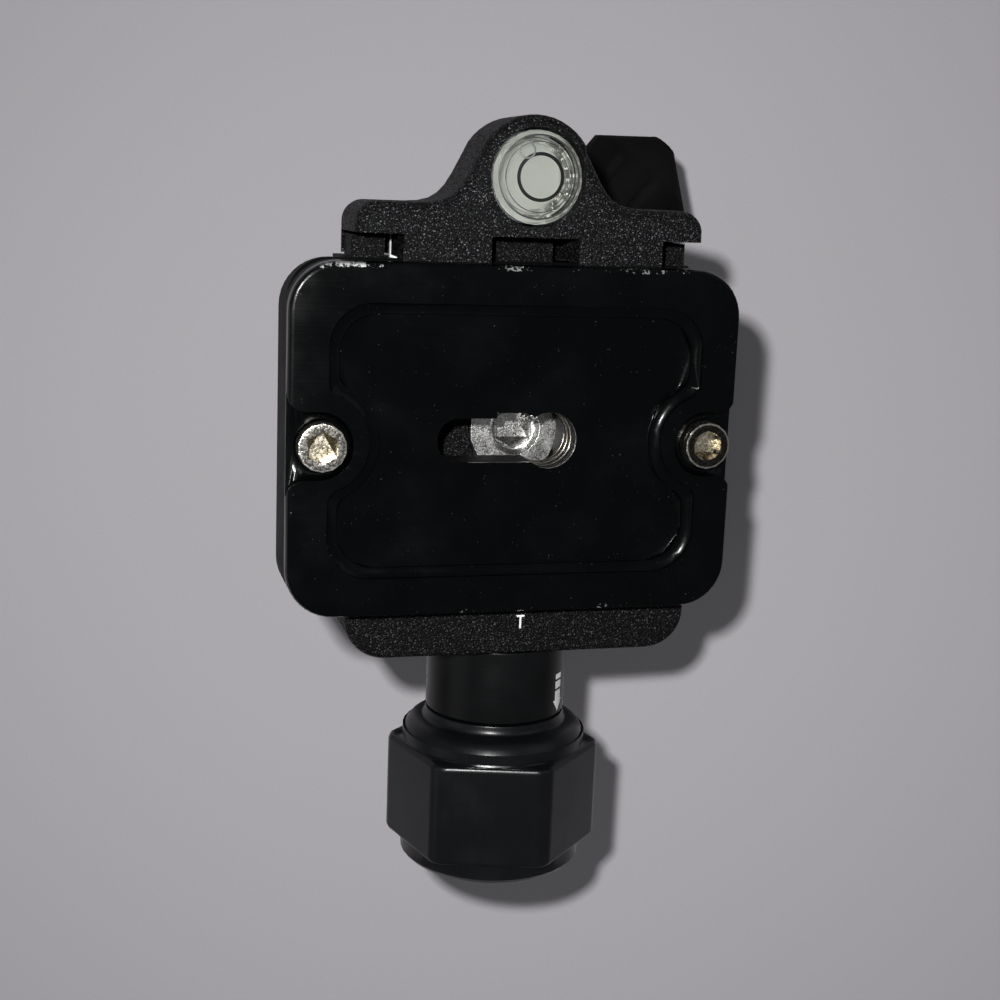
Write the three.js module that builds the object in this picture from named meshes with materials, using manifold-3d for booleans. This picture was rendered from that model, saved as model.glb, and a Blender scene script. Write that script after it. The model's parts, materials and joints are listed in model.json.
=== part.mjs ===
// Ball head with a dovetail clamp and its camera plate. Millimetres, +Z up.
// The base stands on z = 0. The ball and the clamp lean as they were left by the last user.
import * as THREE from 'three';
import { mergeVertices } from 'three/addons/utils/BufferGeometryUtils.js';
import Module from 'manifold-3d';

const wasm = await Module();
wasm.setup();

// Clearances shared by every sub-assembly
const touch = 0.3; // gap between two pieces that bear on each other
const overrun = 1; // how far a cutting shape passes the face that it opens
const roundShare = 0.98; // how much of half a slot's width its round end takes
const rise = 0.001; // lift that keeps two joined shapes from sharing a face

// Turns and counts
const quarterTurn = Math.PI / 2;
const degree = Math.PI / 180;
const facets = {
  ball: 36, wall: 40, grip: 28, bore: 20, screw: 14, curve: 7, corner: 5, edgeSteps: 2, jawSteps: 4,
  flute: 8, hex: 6,
};

// Where the pan axis stands, so that the origin lies under the middle of the whole part
const panAxis = { x: -6.16, y: 11.627 };

// How the head is set: the lean of the ball, its direction, and the two lock knobs
const pose = { lean: 19.2 * degree, leanAxis: 53.4 * degree, ballLock: 50.3 * degree, panLock: -42 * degree };
pose.dropSlot = pose.leanAxis + quarterTurn;

// Heights of the pieces under the ball, as shares of the ball's height over the ground
const baseShare = 0.178;
const floorShare = 0.194;
const nutShare = 0.083;
// The flat on top of the ball, as a share of its radius
const flatShare = 0.9;

const ball = { radius: 14, height: 36, socketRadius: 4.3, socketDepth: 8.6 };
ball.flat = ball.radius * flatShare;

const housing = {
  wall: 3.8, ballGap: 1, lowerStep: 2.2, ledgeDrop: 1.8, rise: 7.4, shoulderDrop: 3.8, topTaper: 0.9,
  footTaper: 0.5, footHeight: 1.2, collarStep: 1.2, seatRise: 1.6, slotHalf: 7,
};
housing.cavity = ball.radius + housing.ballGap;
housing.lowerCavity = housing.cavity - housing.lowerStep;
housing.collarBore = housing.cavity + housing.collarStep;
housing.radius = housing.cavity + housing.wall;
housing.topRadius = housing.radius - housing.topTaper;
housing.footRadius = housing.radius - housing.footTaper;
housing.floor = ball.height * floorShare;
housing.ledge = ball.height - ball.radius - housing.ledgeDrop;
housing.collarSeat = ball.height + housing.seatRise;
housing.top = ball.height + housing.rise;
housing.shoulder = housing.top - housing.shoulderDrop;

const base = {
  overhang: 1.7, chamfer: 0.9, grooveDepth: 0.6, grooveWidth: 1.4,
  insertRadius: 7.5, threadRadius: 4.76, screwCircle: 12.5, screwCount: 3,
};
base.radius = housing.radius + base.overhang;
base.height = ball.height * baseShare;

const frictionRing = { width: 5, inset: 0.8, thickness: 0.4 };
frictionRing.outer = housing.radius - frictionRing.inset;
frictionRing.inner = frictionRing.outer - frictionRing.width;
housing.bottom = base.height + frictionRing.thickness + touch * 2;
housing.floorTop = housing.bottom + housing.floor;

const panWasher = { gap: 1.6, thickness: 0.6 };
panWasher.outer = housing.lowerCavity - panWasher.gap;
const panNut = { inset: 1.2, slotCount: 4, slotWidth: 2, slotDepth: 1.4 };
panNut.outer = panWasher.outer - panNut.inset;
panNut.thickness = ball.height * nutShare;
panWasher.bottom = housing.floorTop + touch;
panNut.bottom = panWasher.bottom + panWasher.thickness + touch;
panNut.top = panNut.bottom + panNut.thickness;

const spindle = { flangeRadius: 16, flange: 1.7, socket: 4.9, postRadius: 7, threadRadius: 5.6 };
spindle.postTop = panWasher.bottom + panWasher.thickness;
spindle.socketTop = housing.bottom + housing.floor / 2;

const collar = { lipHeight: 1.3, reach: 7.2, flareRise: 1.8, flareRun: 2.6 };
collar.radius = housing.collarBore - touch;
collar.lip = housing.topRadius - touch;

// The lower seat and the ball lock, as shares of the ball's radius
const liftShare = 0.235;
const cupShare = 0.2;
const lockShare = 0.43;
const padShare = 0.229;

const cup = { inner: 8, overBall: 0.6 };
cup.lift = ball.radius * liftShare;
cup.thickness = ball.radius * cupShare;
cup.bottom = housing.ledge + cup.lift;
cup.top = cup.bottom + cup.thickness;
cup.radius = ball.radius + cup.overBall;

const disc = { width: 4.9, inset: 0.2, thickness: 0.8, crown: 1.9 };
disc.outer = cup.radius - disc.inset;
disc.inner = disc.outer - disc.width;

const ballLock = {
  boss: 8, bossRun: 3.7, bushRadius: 5.2, bushFlange: 6.9, flange: 1.1, screwStep: 0.2,
  padLength: 4.4, travel: 1.1, hub: 7.2, hubLength: 1.2, grip: 8.1, gripLength: 13.9,
  cone: 5.4, tip: 2.3, edge: 0.5, fluteCount: 10, fluteRadius: 1, fluteLift: 0.55, screwInKnob: 13.5,
  capRadius: 1.6, capDepth: 1.4,
};
ballLock.below = ball.radius * lockShare;
ballLock.padRadius = ball.radius * padShare;
ballLock.screw = ballLock.padRadius - ballLock.screwStep;
ballLock.bossReach = housing.radius + ballLock.bossRun;

const panLock = {
  shoe: 1.9, shoeLength: 2.7, screw: 2, hub: 3.8, hubLength: 1, grip: 6.4,
  gripLength: 9.4, dome: 1.8, tip: 4, edge: 0.5, fluteCount: 10, fluteRadius: 0.9, fluteLift: 0.5,
  screwInKnob: 7,
};
panLock.boss = housing.floor / 2;
panLock.bossReach = base.radius - touch;

const stem = {
  neck: 6.2, neckLength: 6.7, flange: 10.5, flangeHeight: 2.9, boreRise: 1.6, pinCircle: 7.8, pinRadius: 1.2,
  pinDepth: 1.6,
};
stem.neckTop = ball.flat + stem.neckLength;
stem.flangeTop = stem.neckTop + stem.flangeHeight;
stem.bore = ball.flat + stem.boreRise;

// The pocket's corners and the rims round the stop screws, as shares of the pocket's width
const cornerShare = 0.157;
const rimShare = 0.181;

const plate = {
  width: 37.7, thickness: 9, foot: 1.6, flank: 3.4, topFlange: 3.6, corner: 5.2, edge: 0.6,
  pocketEndRim: 4.2, pocketSideRim: 4.2, pocketDepth: 0.7, blend: 2.4,
  floorInset: 1.1, floorDepth: 0.8, reliefHalf: 3.6, reliefDepth: 1.5, reliefInset: 1,
  reliefLip: 1.8, reliefShift: -0.3,
  slotHalf: 2.4, slotReach: 8.6, entryRadius: 3.1, entryX: 3.9, undercut: 2.8, undercutWidth: 6, shift: -2.2,
  keyHalf: 2.1, keyDepth: 0.6,
};
plate.groove = plate.width / 2 - plate.flank;
plate.pocketWidth = plate.width - plate.pocketSideRim * 2;
plate.pocketCorner = plate.pocketWidth * cornerShare;
plate.bossRim = plate.pocketWidth * rimShare;

const clamp = {
  floor: 9.2, half: 19.8, endGap: 0.35, jaw: 5.8, corner: 4.5,
  edge: 0.9, drop: 4, reliefReach: 3.8, reliefHalf: 3.6, reliefDepth: 3.2,
  tongueRun: 2.45, tongueThick: 4.2, midTongue: 3.5, sideTongue: 3.7, sideTongueInset: 0.6,
  screwBelowTop: 13.6, boss: 9.2,
};
clamp.bottom = stem.flangeTop + touch;
clamp.floorTop = clamp.bottom + clamp.floor;
plate.bottom = clamp.floorTop + touch;
plate.top = plate.bottom + plate.thickness;
clamp.jawTop = plate.top - clamp.drop;
clamp.screwHeight = plate.top - clamp.screwBelowTop;
clamp.wall = plate.width / 2 + touch;
clamp.floorEnd = clamp.wall - clamp.endGap;
clamp.frontReach = clamp.wall + clamp.jaw;
clamp.bossLength = clamp.jaw - touch;
clamp.nose = plate.groove + touch * 2;
clamp.flankFoot = plate.bottom + plate.foot;
clamp.endRelief = clamp.half - clamp.reliefReach;
clamp.tongueReach = clamp.floorEnd + clamp.tongueRun;
clamp.sideTongueOuter = clamp.half - clamp.sideTongueInset;
clamp.sideTongueInner = clamp.sideTongueOuter - clamp.sideTongue;

// The stop screws stand just past the clamp's ends, and the plate reaches past them
const stopScrew = {
  past: 1.7, fromEnd: 3.3, head: 2.6, headHeight: 2, sunk: 0.1, shank: 1.5, below: 2, hex: 1.5, hexDepth: 1.4,
  shiftX: 0.4, shiftY: -0.5,
};
stopScrew.place = clamp.half + stopScrew.past;
plate.length = (stopScrew.place + stopScrew.fromEnd) * 2;
plate.pocketLength = plate.length - plate.pocketEndRim * 2;

const centreScrew = {
  head: 5.2, headHeight: 3.5, seat: 5.1, shank: 3, hex: 2, hexDepth: 1.8, dish: 0.5, tipGap: 0.8,
};
centreScrew.tip = stem.bore + centreScrew.tipGap;

const bell = {
  height: 11.5, edge: 1.6, side: 0.3, lobe: 5.8, lobeCorner: 2.4, innerCorner: 2.2, neck: 9.6,
  headRadius: 6.6,
  saddleX: 10.6, midNotch: 4.9, sideNotchGap: 1, notchGap: 0.35,
};
bell.half = clamp.half - bell.side;
bell.lobeY = clamp.wall + bell.lobe;
bell.apex = bell.lobeY + bell.neck;
bell.sideNotch = clamp.sideTongueInner - bell.sideNotchGap;
bell.notchDepth = clamp.tongueReach + bell.notchGap;
bell.bottom = clamp.jawTop - bell.height;
bell.headY = bell.apex - bell.headRadius;
// Where the neck meets the head's round: its angle, and how far the curve is drawn, in head radii
const neckAngle = 34 * degree;
const neckOutShare = 0.854;
const neckUpShare = 0.438;

const level = { radius: 5, depth: 6.6, discThickness: 0.8, discRadius: 4.7, dome: 0.35, rim: 0.5 };
const domeShare = 0.75; // how high the dome stands at half its radius

const rod = { inset: 6.8, radius: 1.5, lift: 6.8, inJaw: 4.9, inBody: 15 };
rod.place = clamp.half - rod.inset;
rod.height = clamp.bottom + rod.lift;
rod.far = clamp.wall + rod.inJaw;
rod.near = clamp.floorEnd - rod.inBody;

const jawSpring = { fromRod: 4, radius: 1.7, bore: 0.9, lift: 6.1, length: 6.6 };
jawSpring.place = rod.place - jawSpring.fromRod;
jawSpring.height = clamp.bottom + jawSpring.lift;

const link = {
  half: 6, under: 0.3, thickness: 2.2, fromWall: 3.8, block: 4.5, skin: 1, pastWall: 9.2,
  padPastWall: 1, corner: 2.4,
  windowHalf: 3.6, travel: 5, screwX: 3.8, screwPastWall: 6, screwRadius: 1.5, screwHead: 2.6,
  screwHeadHeight: 1.2, screwReach: 2.6,
};
link.nearEnd = clamp.wall - link.fromWall;
link.farEnd = clamp.wall + link.pastWall;
link.padStart = clamp.wall + link.padPastWall;
link.screwY = clamp.wall + link.screwPastWall;
link.blockTop = clamp.floorTop - link.skin;
link.bottom = clamp.bottom + link.under;
link.top = link.bottom + link.thickness;
link.padTop = bell.bottom - touch;

const clampScrew = { radius: 2.4 };

const sleeve = {
  radius: 8.25, bore: 5.5, length: 8.5, spigot: 6.8, spigotLength: 1.6, ringHeight: 1.4, collarRadius: 5.1,
  collarLength: 1.8,
};

const knob = {
  sideCount: 6, collar: 10.9, mouthStep: 0.5, mouth: 1.1, shoulder: 2.6, collarLength: 3.9, grooveDepth: 0.35,
  groove: 0.7, flats: 22.4, gripLength: 12.2, lip: 10.8, lipLength: 2.3, edge: 0.7, cornerBlend: 2.4,
  turn: 15 * degree, screwIn: 13.6, recess: 4.5, recessDepth: 2.5, endHead: 4, endHeadHeight: 2,
  endShank: 2, hex: 1.5, hexDepth: 1.1,
};

// Finishes
const finish = (color, roughness, metalness) => (
  new THREE.MeshStandardMaterial({ color, roughness, metalness })
);
const finishes = {
  gloss: finish(0x0c0e10, 0.28, 0.55),
  crinkle: finish(0x1b1c1f, 0.6, 0.2),
  satin: finish(0x17181a, 0.4, 0.35),
  steel: finish(0xb9b7b0, 0.3, 1),
  ball: finish(0x2a2b2e, 0.3, 0.7),
  brass: finish(0xb08d4a, 0.35, 1),
  nylon: finish(0xd8d5cc, 0.5, 0),
  ptfe: finish(0xe6e4dc, 0.55, 0),
  clear: finish(0xdfe6e2, 0.08, 0),
  white: finish(0xdedfd8, 0.5, 0),
};

// Shape tools
function weld(geometry) {
  const bare = geometry.index ? geometry.toNonIndexed() : geometry;
  bare.deleteAttribute('normal');
  bare.deleteAttribute('uv');
  const merged = mergeVertices(bare);
  const index = merged.index.array;
  const kept = [];
  for (let i = 0; i < index.length; i += 3) {
    const [a, b, c] = [index[i], index[i + 1], index[i + 2]];
    if (a !== b && b !== c && c !== a) kept.push(a, b, c);
  }
  merged.setIndex(kept);
  return merged;
}

function signedVolume(geometry) {
  const place = geometry.attributes.position;
  const index = geometry.index.array;
  const [a, b, c] = [new THREE.Vector3(), new THREE.Vector3(), new THREE.Vector3()];
  let sum = 0;
  for (let i = 0; i < index.length; i += 3) {
    a.fromBufferAttribute(place, index[i]);
    b.fromBufferAttribute(place, index[i + 1]);
    c.fromBufferAttribute(place, index[i + 2]);
    sum += a.dot(b.cross(c));
  }
  return sum;
}

function solid(geometry) {
  const merged = weld(geometry);
  const index = merged.index.array;
  if (signedVolume(merged) < 0) {
    for (let i = 0; i < index.length; i += 3) [index[i], index[i + 1]] = [index[i + 1], index[i]];
  }
  const vertProperties = Float32Array.from(merged.attributes.position.array);
  return new wasm.Manifold(new wasm.Mesh({ numProp: 3, vertProperties, triVerts: Uint32Array.from(index) }));
}

function toGeometry(body) {
  const mesh = body.getMesh();
  const geometry = new THREE.BufferGeometry();
  geometry.setAttribute('position', new THREE.BufferAttribute(Float32Array.from(mesh.vertProperties), 3));
  geometry.setIndex(Array.from(mesh.triVerts));
  geometry.computeVertexNormals();
  return geometry;
}

function piece(name, body, material) {
  const mesh = new THREE.Mesh(toGeometry(body), material);
  mesh.name = name;
  return mesh;
}

// A profile of [radius, height] pairs turned round Z
function turned(profile, segments) {
  const points = profile.map(([radius, height]) => new THREE.Vector2(radius, height));
  const first = points[0];
  const last = points[points.length - 1];
  const open = first.x > 0 || last.x > 0;
  if (open && !first.equals(last)) points.push(first.clone());
  return new THREE.LatheGeometry(points, segments).rotateX(quarterTurn);
}

const post = (radius, from, to, segments = facets.bore) =>
  turned([[0, from], [radius, from], [radius, to], [0, to]], segments);

const tube = (inner, outer, from, to, segments = facets.bore) =>
  turned([[inner, from], [outer, from], [outer, to], [inner, to]], segments);

const bar = (from, to) =>
  new THREE.BoxGeometry(to[0] - from[0], to[1] - from[1], to[2] - from[2])
    .translate((from[0] + to[0]) / 2, (from[1] + to[1]) / 2, (from[2] + to[2]) / 2);

// Turns a shape made round Z so that its axis points along +X, +Y or -Y
const alongX = (geometry) => geometry.rotateY(quarterTurn);
const alongY = (geometry) => geometry.rotateX(-quarterTurn);
const alongFront = (geometry) => geometry.rotateX(quarterTurn);

// A closed outline from corners [x, y, radius]
function outline(corners) {
  const shape = new THREE.Shape();
  const count = corners.length;
  corners.forEach(([x, y, radius], i) => {
    const here = new THREE.Vector2(x, y);
    const before = new THREE.Vector2(...corners[(i + count - 1) % count].slice(0, 2)).sub(here).normalize();
    const after = new THREE.Vector2(...corners[(i + 1) % count].slice(0, 2)).sub(here).normalize();
    const start = radius ? roundStart(here, before, after, radius) : here;
    if (i === 0) shape.moveTo(start.x, start.y);
    else shape.lineTo(start.x, start.y);
    if (radius) roundCorner(shape, here, before, after, radius);
  });
  shape.closePath();
  return shape;
}

function roundStart(here, before, after, radius) {
  const half = Math.acos(THREE.MathUtils.clamp(before.dot(after), -1, 1)) / 2;
  return here.clone().addScaledVector(before, radius / Math.tan(half));
}

function roundCorner(shape, here, before, after, radius) {
  const half = Math.acos(THREE.MathUtils.clamp(before.dot(after), -1, 1)) / 2;
  const inward = before.clone().add(after).normalize();
  const centre = here.clone().addScaledVector(inward, radius / Math.sin(half));
  const start = here.clone().addScaledVector(before, radius / Math.tan(half)).sub(centre);
  const end = here.clone().addScaledVector(after, radius / Math.tan(half)).sub(centre);
  const clockwise = start.cross(end) < 0;
  shape.absarc(centre.x, centre.y, radius, start.angle(), end.angle(), clockwise);
}

const block = (halfX, fromY, toY, radius) =>
  outline([[-halfX, fromY, radius], [halfX, fromY, radius], [halfX, toY, radius], [-halfX, toY, radius]]);

// An outline raised from one height to another, with rounded upper and lower edges
function raised(shape, from, to, edge = 0, steps = facets.edgeSteps, curveSegments = facets.corner) {
  const settings = edge
    ? { depth: to - from - edge * 2, bevelEnabled: true, bevelThickness: edge, bevelSize: edge,
      bevelOffset: -edge, bevelSegments: steps, curveSegments }
    : { depth: to - from, bevelEnabled: false, curveSegments };
  return new THREE.ExtrudeGeometry(shape, settings).translate(0, 0, from + edge);
}

// A section drawn as [y, z] pairs, drawn out along X over the given half length
function drawn(section, half) {
  const shape = new THREE.Shape(section.map(([y, z]) => new THREE.Vector2(y, z)));
  const geometry = new THREE.ExtrudeGeometry(shape, { depth: half * 2, bevelEnabled: false });
  return geometry.translate(0, 0, -half).applyMatrix4(new THREE.Matrix4().set(
    0, 0, 1, 0,
    1, 0, 0, 0,
    0, 1, 0, 0,
    0, 0, 0, 1,
  ));
}

// A hexagonal socket, by half its width over flats
const hexSocket = (half, from, to) => post(half / Math.cos(Math.PI / facets.hex), from, to, facets.hex);

const joined = (...shapes) => shapes.map((shape) => solid(shape)).reduce((sum, next) => sum.add(next));
const less = (body, ...cuts) => cuts.reduce((rest, cut) => rest.subtract(solid(cut)), body);

// A round-headed screw standing on its tip, its head's top at the given height
function screw(head, headHeight, shank, tip, top, hex, hexDepth) {
  const seat = top - headHeight;
  const outline = [[0, tip], [shank, tip], [shank, seat], [head, seat], [head, top], [0, top]];
  const body = solid(turned(outline, facets.screw));
  return hex ? less(body, hexSocket(hex, top - hexDepth, top + overrun)) : body;
}

// Long shallow grooves round a grip that is made round Z
function flutes(count, circle, radius, from, to) {
  return Array.from({ length: count }, (_, i) => {
    const angle = (i + 0.5) / count * Math.PI * 2;
    const groove = post(radius, from, to, facets.flute);
    return groove.translate(Math.cos(angle) * circle, Math.sin(angle) * circle, 0);
  });
}

// The base, with its thread insert, pan spindle and the parts that hold the body on it
function baseParts() {
  const group = new THREE.Group();
  const recess = base.height - spindle.flange;
  const groove = base.height / 2;
  const halfGroove = base.grooveWidth / 2;
  const insertBore = base.insertRadius + touch;
  const insertTop = recess - touch;
  const disk = solid(turned([
    [insertBore, 0], [base.radius - base.chamfer, 0], [base.radius, base.chamfer],
    [base.radius, groove - halfGroove], [base.radius - base.grooveDepth, groove],
    [base.radius, groove + halfGroove], [base.radius, base.height - base.chamfer / 2],
    [base.radius - base.chamfer / 2, base.height], [spindle.flangeRadius + touch, base.height],
    [spindle.flangeRadius + touch, recess], [insertBore, recess],
  ], facets.wall));
  const flange = solid(turned([
    [0, recess + touch], [spindle.flangeRadius, recess + touch], [spindle.flangeRadius, base.height],
    [spindle.postRadius, base.height], [spindle.postRadius, spindle.postTop],
    [spindle.threadRadius, spindle.postTop], [spindle.threadRadius, panNut.top], [0, panNut.top],
  ], facets.grip));
  const socket = post(spindle.socket, 0, spindle.socketTop, facets.grip);
  const { screwHead: head, screwRadius: shank, screwHeadHeight: headHeight } = link;
  const holes = [];
  for (let i = 0; i < base.screwCount; i += 1) {
    const angle = i / base.screwCount * Math.PI * 2;
    const [x, y] = [Math.cos(angle) * base.screwCircle, Math.sin(angle) * base.screwCircle];
    holes.push(post(head + touch, -overrun, headHeight + touch * 2, facets.screw).translate(x, y, 0));
    holes.push(post(shank + touch, 0, base.height + overrun, facets.screw).translate(x, y, 0));
    const fixing = screw(head, headHeight, shank, -base.height, -touch, stopScrew.hex, headHeight / 2);
    const mesh = piece(`base_screw_${i + 1}`, fixing, finishes.steel);
    mesh.rotation.x = Math.PI;
    mesh.position.set(x, y, 0);
    group.add(mesh);
  }
  const nutSlots = Array.from({ length: panNut.slotCount }, (_, i) => bar(
    [panNut.outer - panNut.slotDepth, -panNut.slotWidth / 2, panNut.bottom - overrun],
    [panNut.outer + overrun, panNut.slotWidth / 2, panNut.top + overrun],
  ).rotateZ(i / panNut.slotCount * Math.PI * 2));
  const nut = solid(tube(spindle.threadRadius + touch, panNut.outer, panNut.bottom, panNut.top, facets.grip));
  const washerBore = spindle.postRadius + touch;
  const washer = tube(washerBore, panWasher.outer, panWasher.bottom, spindle.postTop, facets.grip);
  const ringBottom = base.height + touch;
  const ringTop = ringBottom + frictionRing.thickness;
  const ring = tube(frictionRing.inner, frictionRing.outer, ringBottom, ringTop, facets.wall);
  group.add(
    piece('base_plate', less(disk, ...holes), finishes.satin),
    piece(
      'thread_insert', solid(tube(base.threadRadius, base.insertRadius, 0, insertTop, facets.grip)),
      finishes.steel,
    ),
    piece('pan_spindle', less(flange, socket, ...holes.filter((_, i) => i % 2 === 1)), finishes.steel),
    piece('pan_friction_ring', solid(ring), finishes.ptfe),
    piece('pan_washer', solid(washer), finishes.steel),
    piece('pan_nut', less(nut, ...nutSlots), finishes.brass),
  );
  return group;
}

// The slot that lets the stem drop level with the body, cut from the pan axis outwards
function dropSlot() {
  const shape = outline([
    [-housing.slotHalf, -housing.slotHalf, housing.slotHalf * roundShare],
    [housing.slotHalf, -housing.slotHalf, housing.slotHalf * roundShare],
    [housing.slotHalf, ball.radius + overrun, 0],
    [-housing.slotHalf, ball.radius + overrun, 0],
  ]);
  const reach = housing.radius + overrun;
  return new THREE.ExtrudeGeometry(shape, { depth: reach, bevelEnabled: false, curveSegments: facets.curve })
    .rotateX(quarterTurn).rotateZ(Math.PI).translate(0, 0, ball.height).rotateZ(pose.dropSlot - quarterTurn);
}

const seatSphere = () => new THREE.SphereGeometry(ball.radius + touch, facets.ball, facets.ball / 2)
  .rotateX(quarterTurn).translate(0, 0, ball.height);

// The body that pans on the base, with the seats of the ball
function bodyParts() {
  const group = new THREE.Group();
  const panHeight = housing.bottom + housing.floor / 2;
  const lockHeight = ball.height - ballLock.below;
  const boss = (radius, reach, height, angle) =>
    alongX(post(radius, housing.cavity, reach, facets.bore)).translate(0, 0, height).rotateZ(angle);
  const bore = (radius, from, reach, height, angle) =>
    alongX(post(radius, from, reach, facets.screw)).translate(0, 0, height).rotateZ(angle);
  const bushFoot = lockPadEnd() + ballLock.travel;
  const shell = joined(
    turned([
      [0, housing.bottom], [housing.footRadius, housing.bottom],
      [housing.footRadius, housing.bottom + housing.footHeight / 2],
      [housing.radius, housing.bottom + housing.footHeight], [housing.radius, housing.shoulder],
      [(housing.radius * 2 + housing.topRadius) / 3, (housing.shoulder + housing.top) / 2],
      [housing.topRadius, housing.top], [0, housing.top],
    ], facets.wall),
    boss(ballLock.boss, ballLock.bossReach, lockHeight, pose.ballLock),
    boss(panLock.boss, panLock.bossReach, panHeight, pose.panLock),
  );
  const cavity = turned([
    [0, housing.floorTop], [housing.lowerCavity, housing.floorTop], [housing.lowerCavity, housing.ledge],
    [housing.cavity, housing.ledge], [housing.cavity, housing.collarSeat],
    [housing.collarBore, housing.collarSeat],
    [housing.collarBore, housing.top + overrun], [0, housing.top + overrun],
  ], facets.wall);
  const body = less(
    shell, cavity,
    post(spindle.postRadius + touch, 0, housing.floorTop + overrun, facets.grip),
    bore(ballLock.padRadius + touch, 0, ballLock.bossReach, lockHeight, pose.ballLock),
    bore(ballLock.bushRadius + touch, bushFoot, ballLock.bossReach + overrun, lockHeight, pose.ballLock),
    bore(panLock.screw + touch, 0, panLock.bossReach + overrun, panHeight, pose.panLock),
    dropSlot(),
  );
  const lipBottom = housing.top + touch;
  const lipTop = lipBottom + collar.lipHeight;
  const reach = ball.height + collar.reach;
  const seat = Math.sqrt((ball.radius + touch) ** 2 - collar.reach ** 2);
  const ring = less(
    solid(turned([
      [0, housing.collarSeat + touch], [collar.radius, housing.collarSeat + touch],
      [collar.radius, lipBottom],
      [collar.lip, lipBottom], [collar.lip, lipTop - touch], [collar.lip - touch, lipTop], [0, lipTop],
    ], facets.wall)),
    seatSphere(),
    turned([
      [0, ball.height], [seat / 2, ball.height], [seat, reach],
      [seat + collar.flareRun, reach + collar.flareRise + touch],
      [seat + collar.flareRun, lipTop + overrun], [0, lipTop + overrun],
    ], facets.ball),
    dropSlot(),
  );
  const cupRing = less(
    solid(tube(cup.inner, cup.radius, cup.bottom, cup.top, facets.ball)),
    seatSphere(),
  );
  const springFoot = housing.ledge + touch;
  const spring = turned([
    [disc.inner, springFoot + disc.crown], [disc.outer, springFoot],
    [disc.outer, springFoot + disc.thickness],
    [disc.inner, springFoot + disc.crown + disc.thickness],
  ], facets.ball);
  group.add(
    piece('body_housing', body, finishes.satin),
    piece('ball_collar', ring, finishes.satin),
    piece('lower_ball_seat', cupRing, finishes.nylon),
    piece('seat_spring', solid(spring), finishes.steel),
  );
  return group;
}

// A turned knob made round Z, from its hub outwards, with a blind bore for its screw
function turnedKnob(k, end) {
  const gripFrom = k.hubLength;
  const gripTo = gripFrom + k.gripLength;
  const profile = [
    [0, 0], [k.hub, 0], [k.hub, gripFrom], [k.grip - k.edge, gripFrom], [k.grip, gripFrom + k.edge],
    [k.grip, gripTo], ...end(gripTo),
  ];
  return less(
    solid(turned(profile, facets.grip)),
    post(k.screw + touch, -overrun, k.screwInKnob + touch, facets.screw),
    ...flutes(k.fluteCount, k.grip + k.fluteLift, k.fluteRadius, gripFrom + k.edge * 3, gripTo - k.edge * 3),
  );
}

// Where the pad of the ball lock ends, counted from the pan axis
const lockPadEnd = () => Math.sqrt(ball.radius ** 2 - ballLock.below ** 2) + ballLock.padLength;

// The ball lock: pad, threaded bush, screw and knob, all on one axis that points at the ball
function ballLockParts() {
  const group = new THREE.Group();
  group.position.z = ball.height - ballLock.below;
  group.rotation.z = pose.ballLock;
  const padEnd = lockPadEnd();
  const bushFrom = padEnd + ballLock.travel + touch;
  const bushTo = ballLock.bossReach + touch;
  const knobFrom = bushTo + ballLock.flange + touch;
  const knobEnd = ballLock.hubLength + ballLock.gripLength + ballLock.cone;
  const pad = less(
    solid(alongX(post(ballLock.padRadius, housing.cavity / 2, padEnd, facets.screw))),
    new THREE.SphereGeometry(ball.radius + touch, facets.ball, facets.ball / 2)
      .rotateX(quarterTurn).translate(0, 0, ballLock.below),
  );
  const bush = turned([
    [ballLock.screw + touch, bushFrom], [ballLock.bushRadius, bushFrom], [ballLock.bushRadius, bushTo],
    [ballLock.bushFlange, bushTo], [ballLock.bushFlange, bushTo + ballLock.flange],
    [ballLock.screw + touch, bushTo + ballLock.flange],
  ], facets.bore);
  const rodBody = post(ballLock.screw, padEnd + touch, knobFrom + ballLock.screwInKnob, facets.screw);
  const grip = less(
    turnedKnob(ballLock, (from) => [
      [ballLock.tip, from + ballLock.cone - ballLock.edge],
      [ballLock.tip - ballLock.edge, from + ballLock.cone],
      [0, from + ballLock.cone],
    ]),
    post(ballLock.capRadius + touch, knobEnd - ballLock.capDepth - touch, knobEnd + overrun, facets.screw),
  );
  const knobMesh = piece('ball_lock_knob', solid(toGeometry(grip).rotateY(quarterTurn)), finishes.satin);
  knobMesh.position.x = knobFrom;
  const cap = alongX(post(ballLock.capRadius, knobEnd - ballLock.capDepth, knobEnd, facets.screw));
  const capMesh = piece('ball_lock_cap', solid(cap), finishes.steel);
  capMesh.position.x = knobFrom;
  group.add(
    piece('ball_lock_pad', pad, finishes.nylon),
    piece('ball_lock_bush', solid(alongX(bush)), finishes.brass),
    piece('ball_lock_screw', solid(alongX(rodBody)), finishes.steel),
    knobMesh,
    capMesh,
  );
  return group;
}

const placedAlongX = (body) => solid(toGeometry(body).rotateY(quarterTurn));

// The pan lock: a brass shoe on the spindle, its screw and its knob
function panLockParts() {
  const group = new THREE.Group();
  group.position.z = housing.bottom + housing.floor / 2;
  group.rotation.z = pose.panLock;
  const shoeFrom = spindle.postRadius + touch;
  const shoeTo = shoeFrom + panLock.shoeLength;
  const knobFrom = panLock.bossReach + touch;
  const rodBody = post(panLock.screw, shoeTo + touch, knobFrom + panLock.screwInKnob, facets.screw);
  const grip = turnedKnob(panLock, (from) => [
    [panLock.grip - panLock.edge, from + panLock.dome / 2], [panLock.tip, from + panLock.dome],
    [0, from + panLock.dome],
  ]);
  const knobMesh = piece('pan_lock_knob', placedAlongX(grip), finishes.satin);
  knobMesh.position.x = knobFrom;
  group.add(
    piece('pan_lock_shoe', solid(alongX(post(panLock.shoe, shoeFrom, shoeTo, facets.screw))), finishes.brass),
    piece('pan_lock_screw', solid(alongX(rodBody)), finishes.steel),
    knobMesh,
  );
  return group;
}

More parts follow.
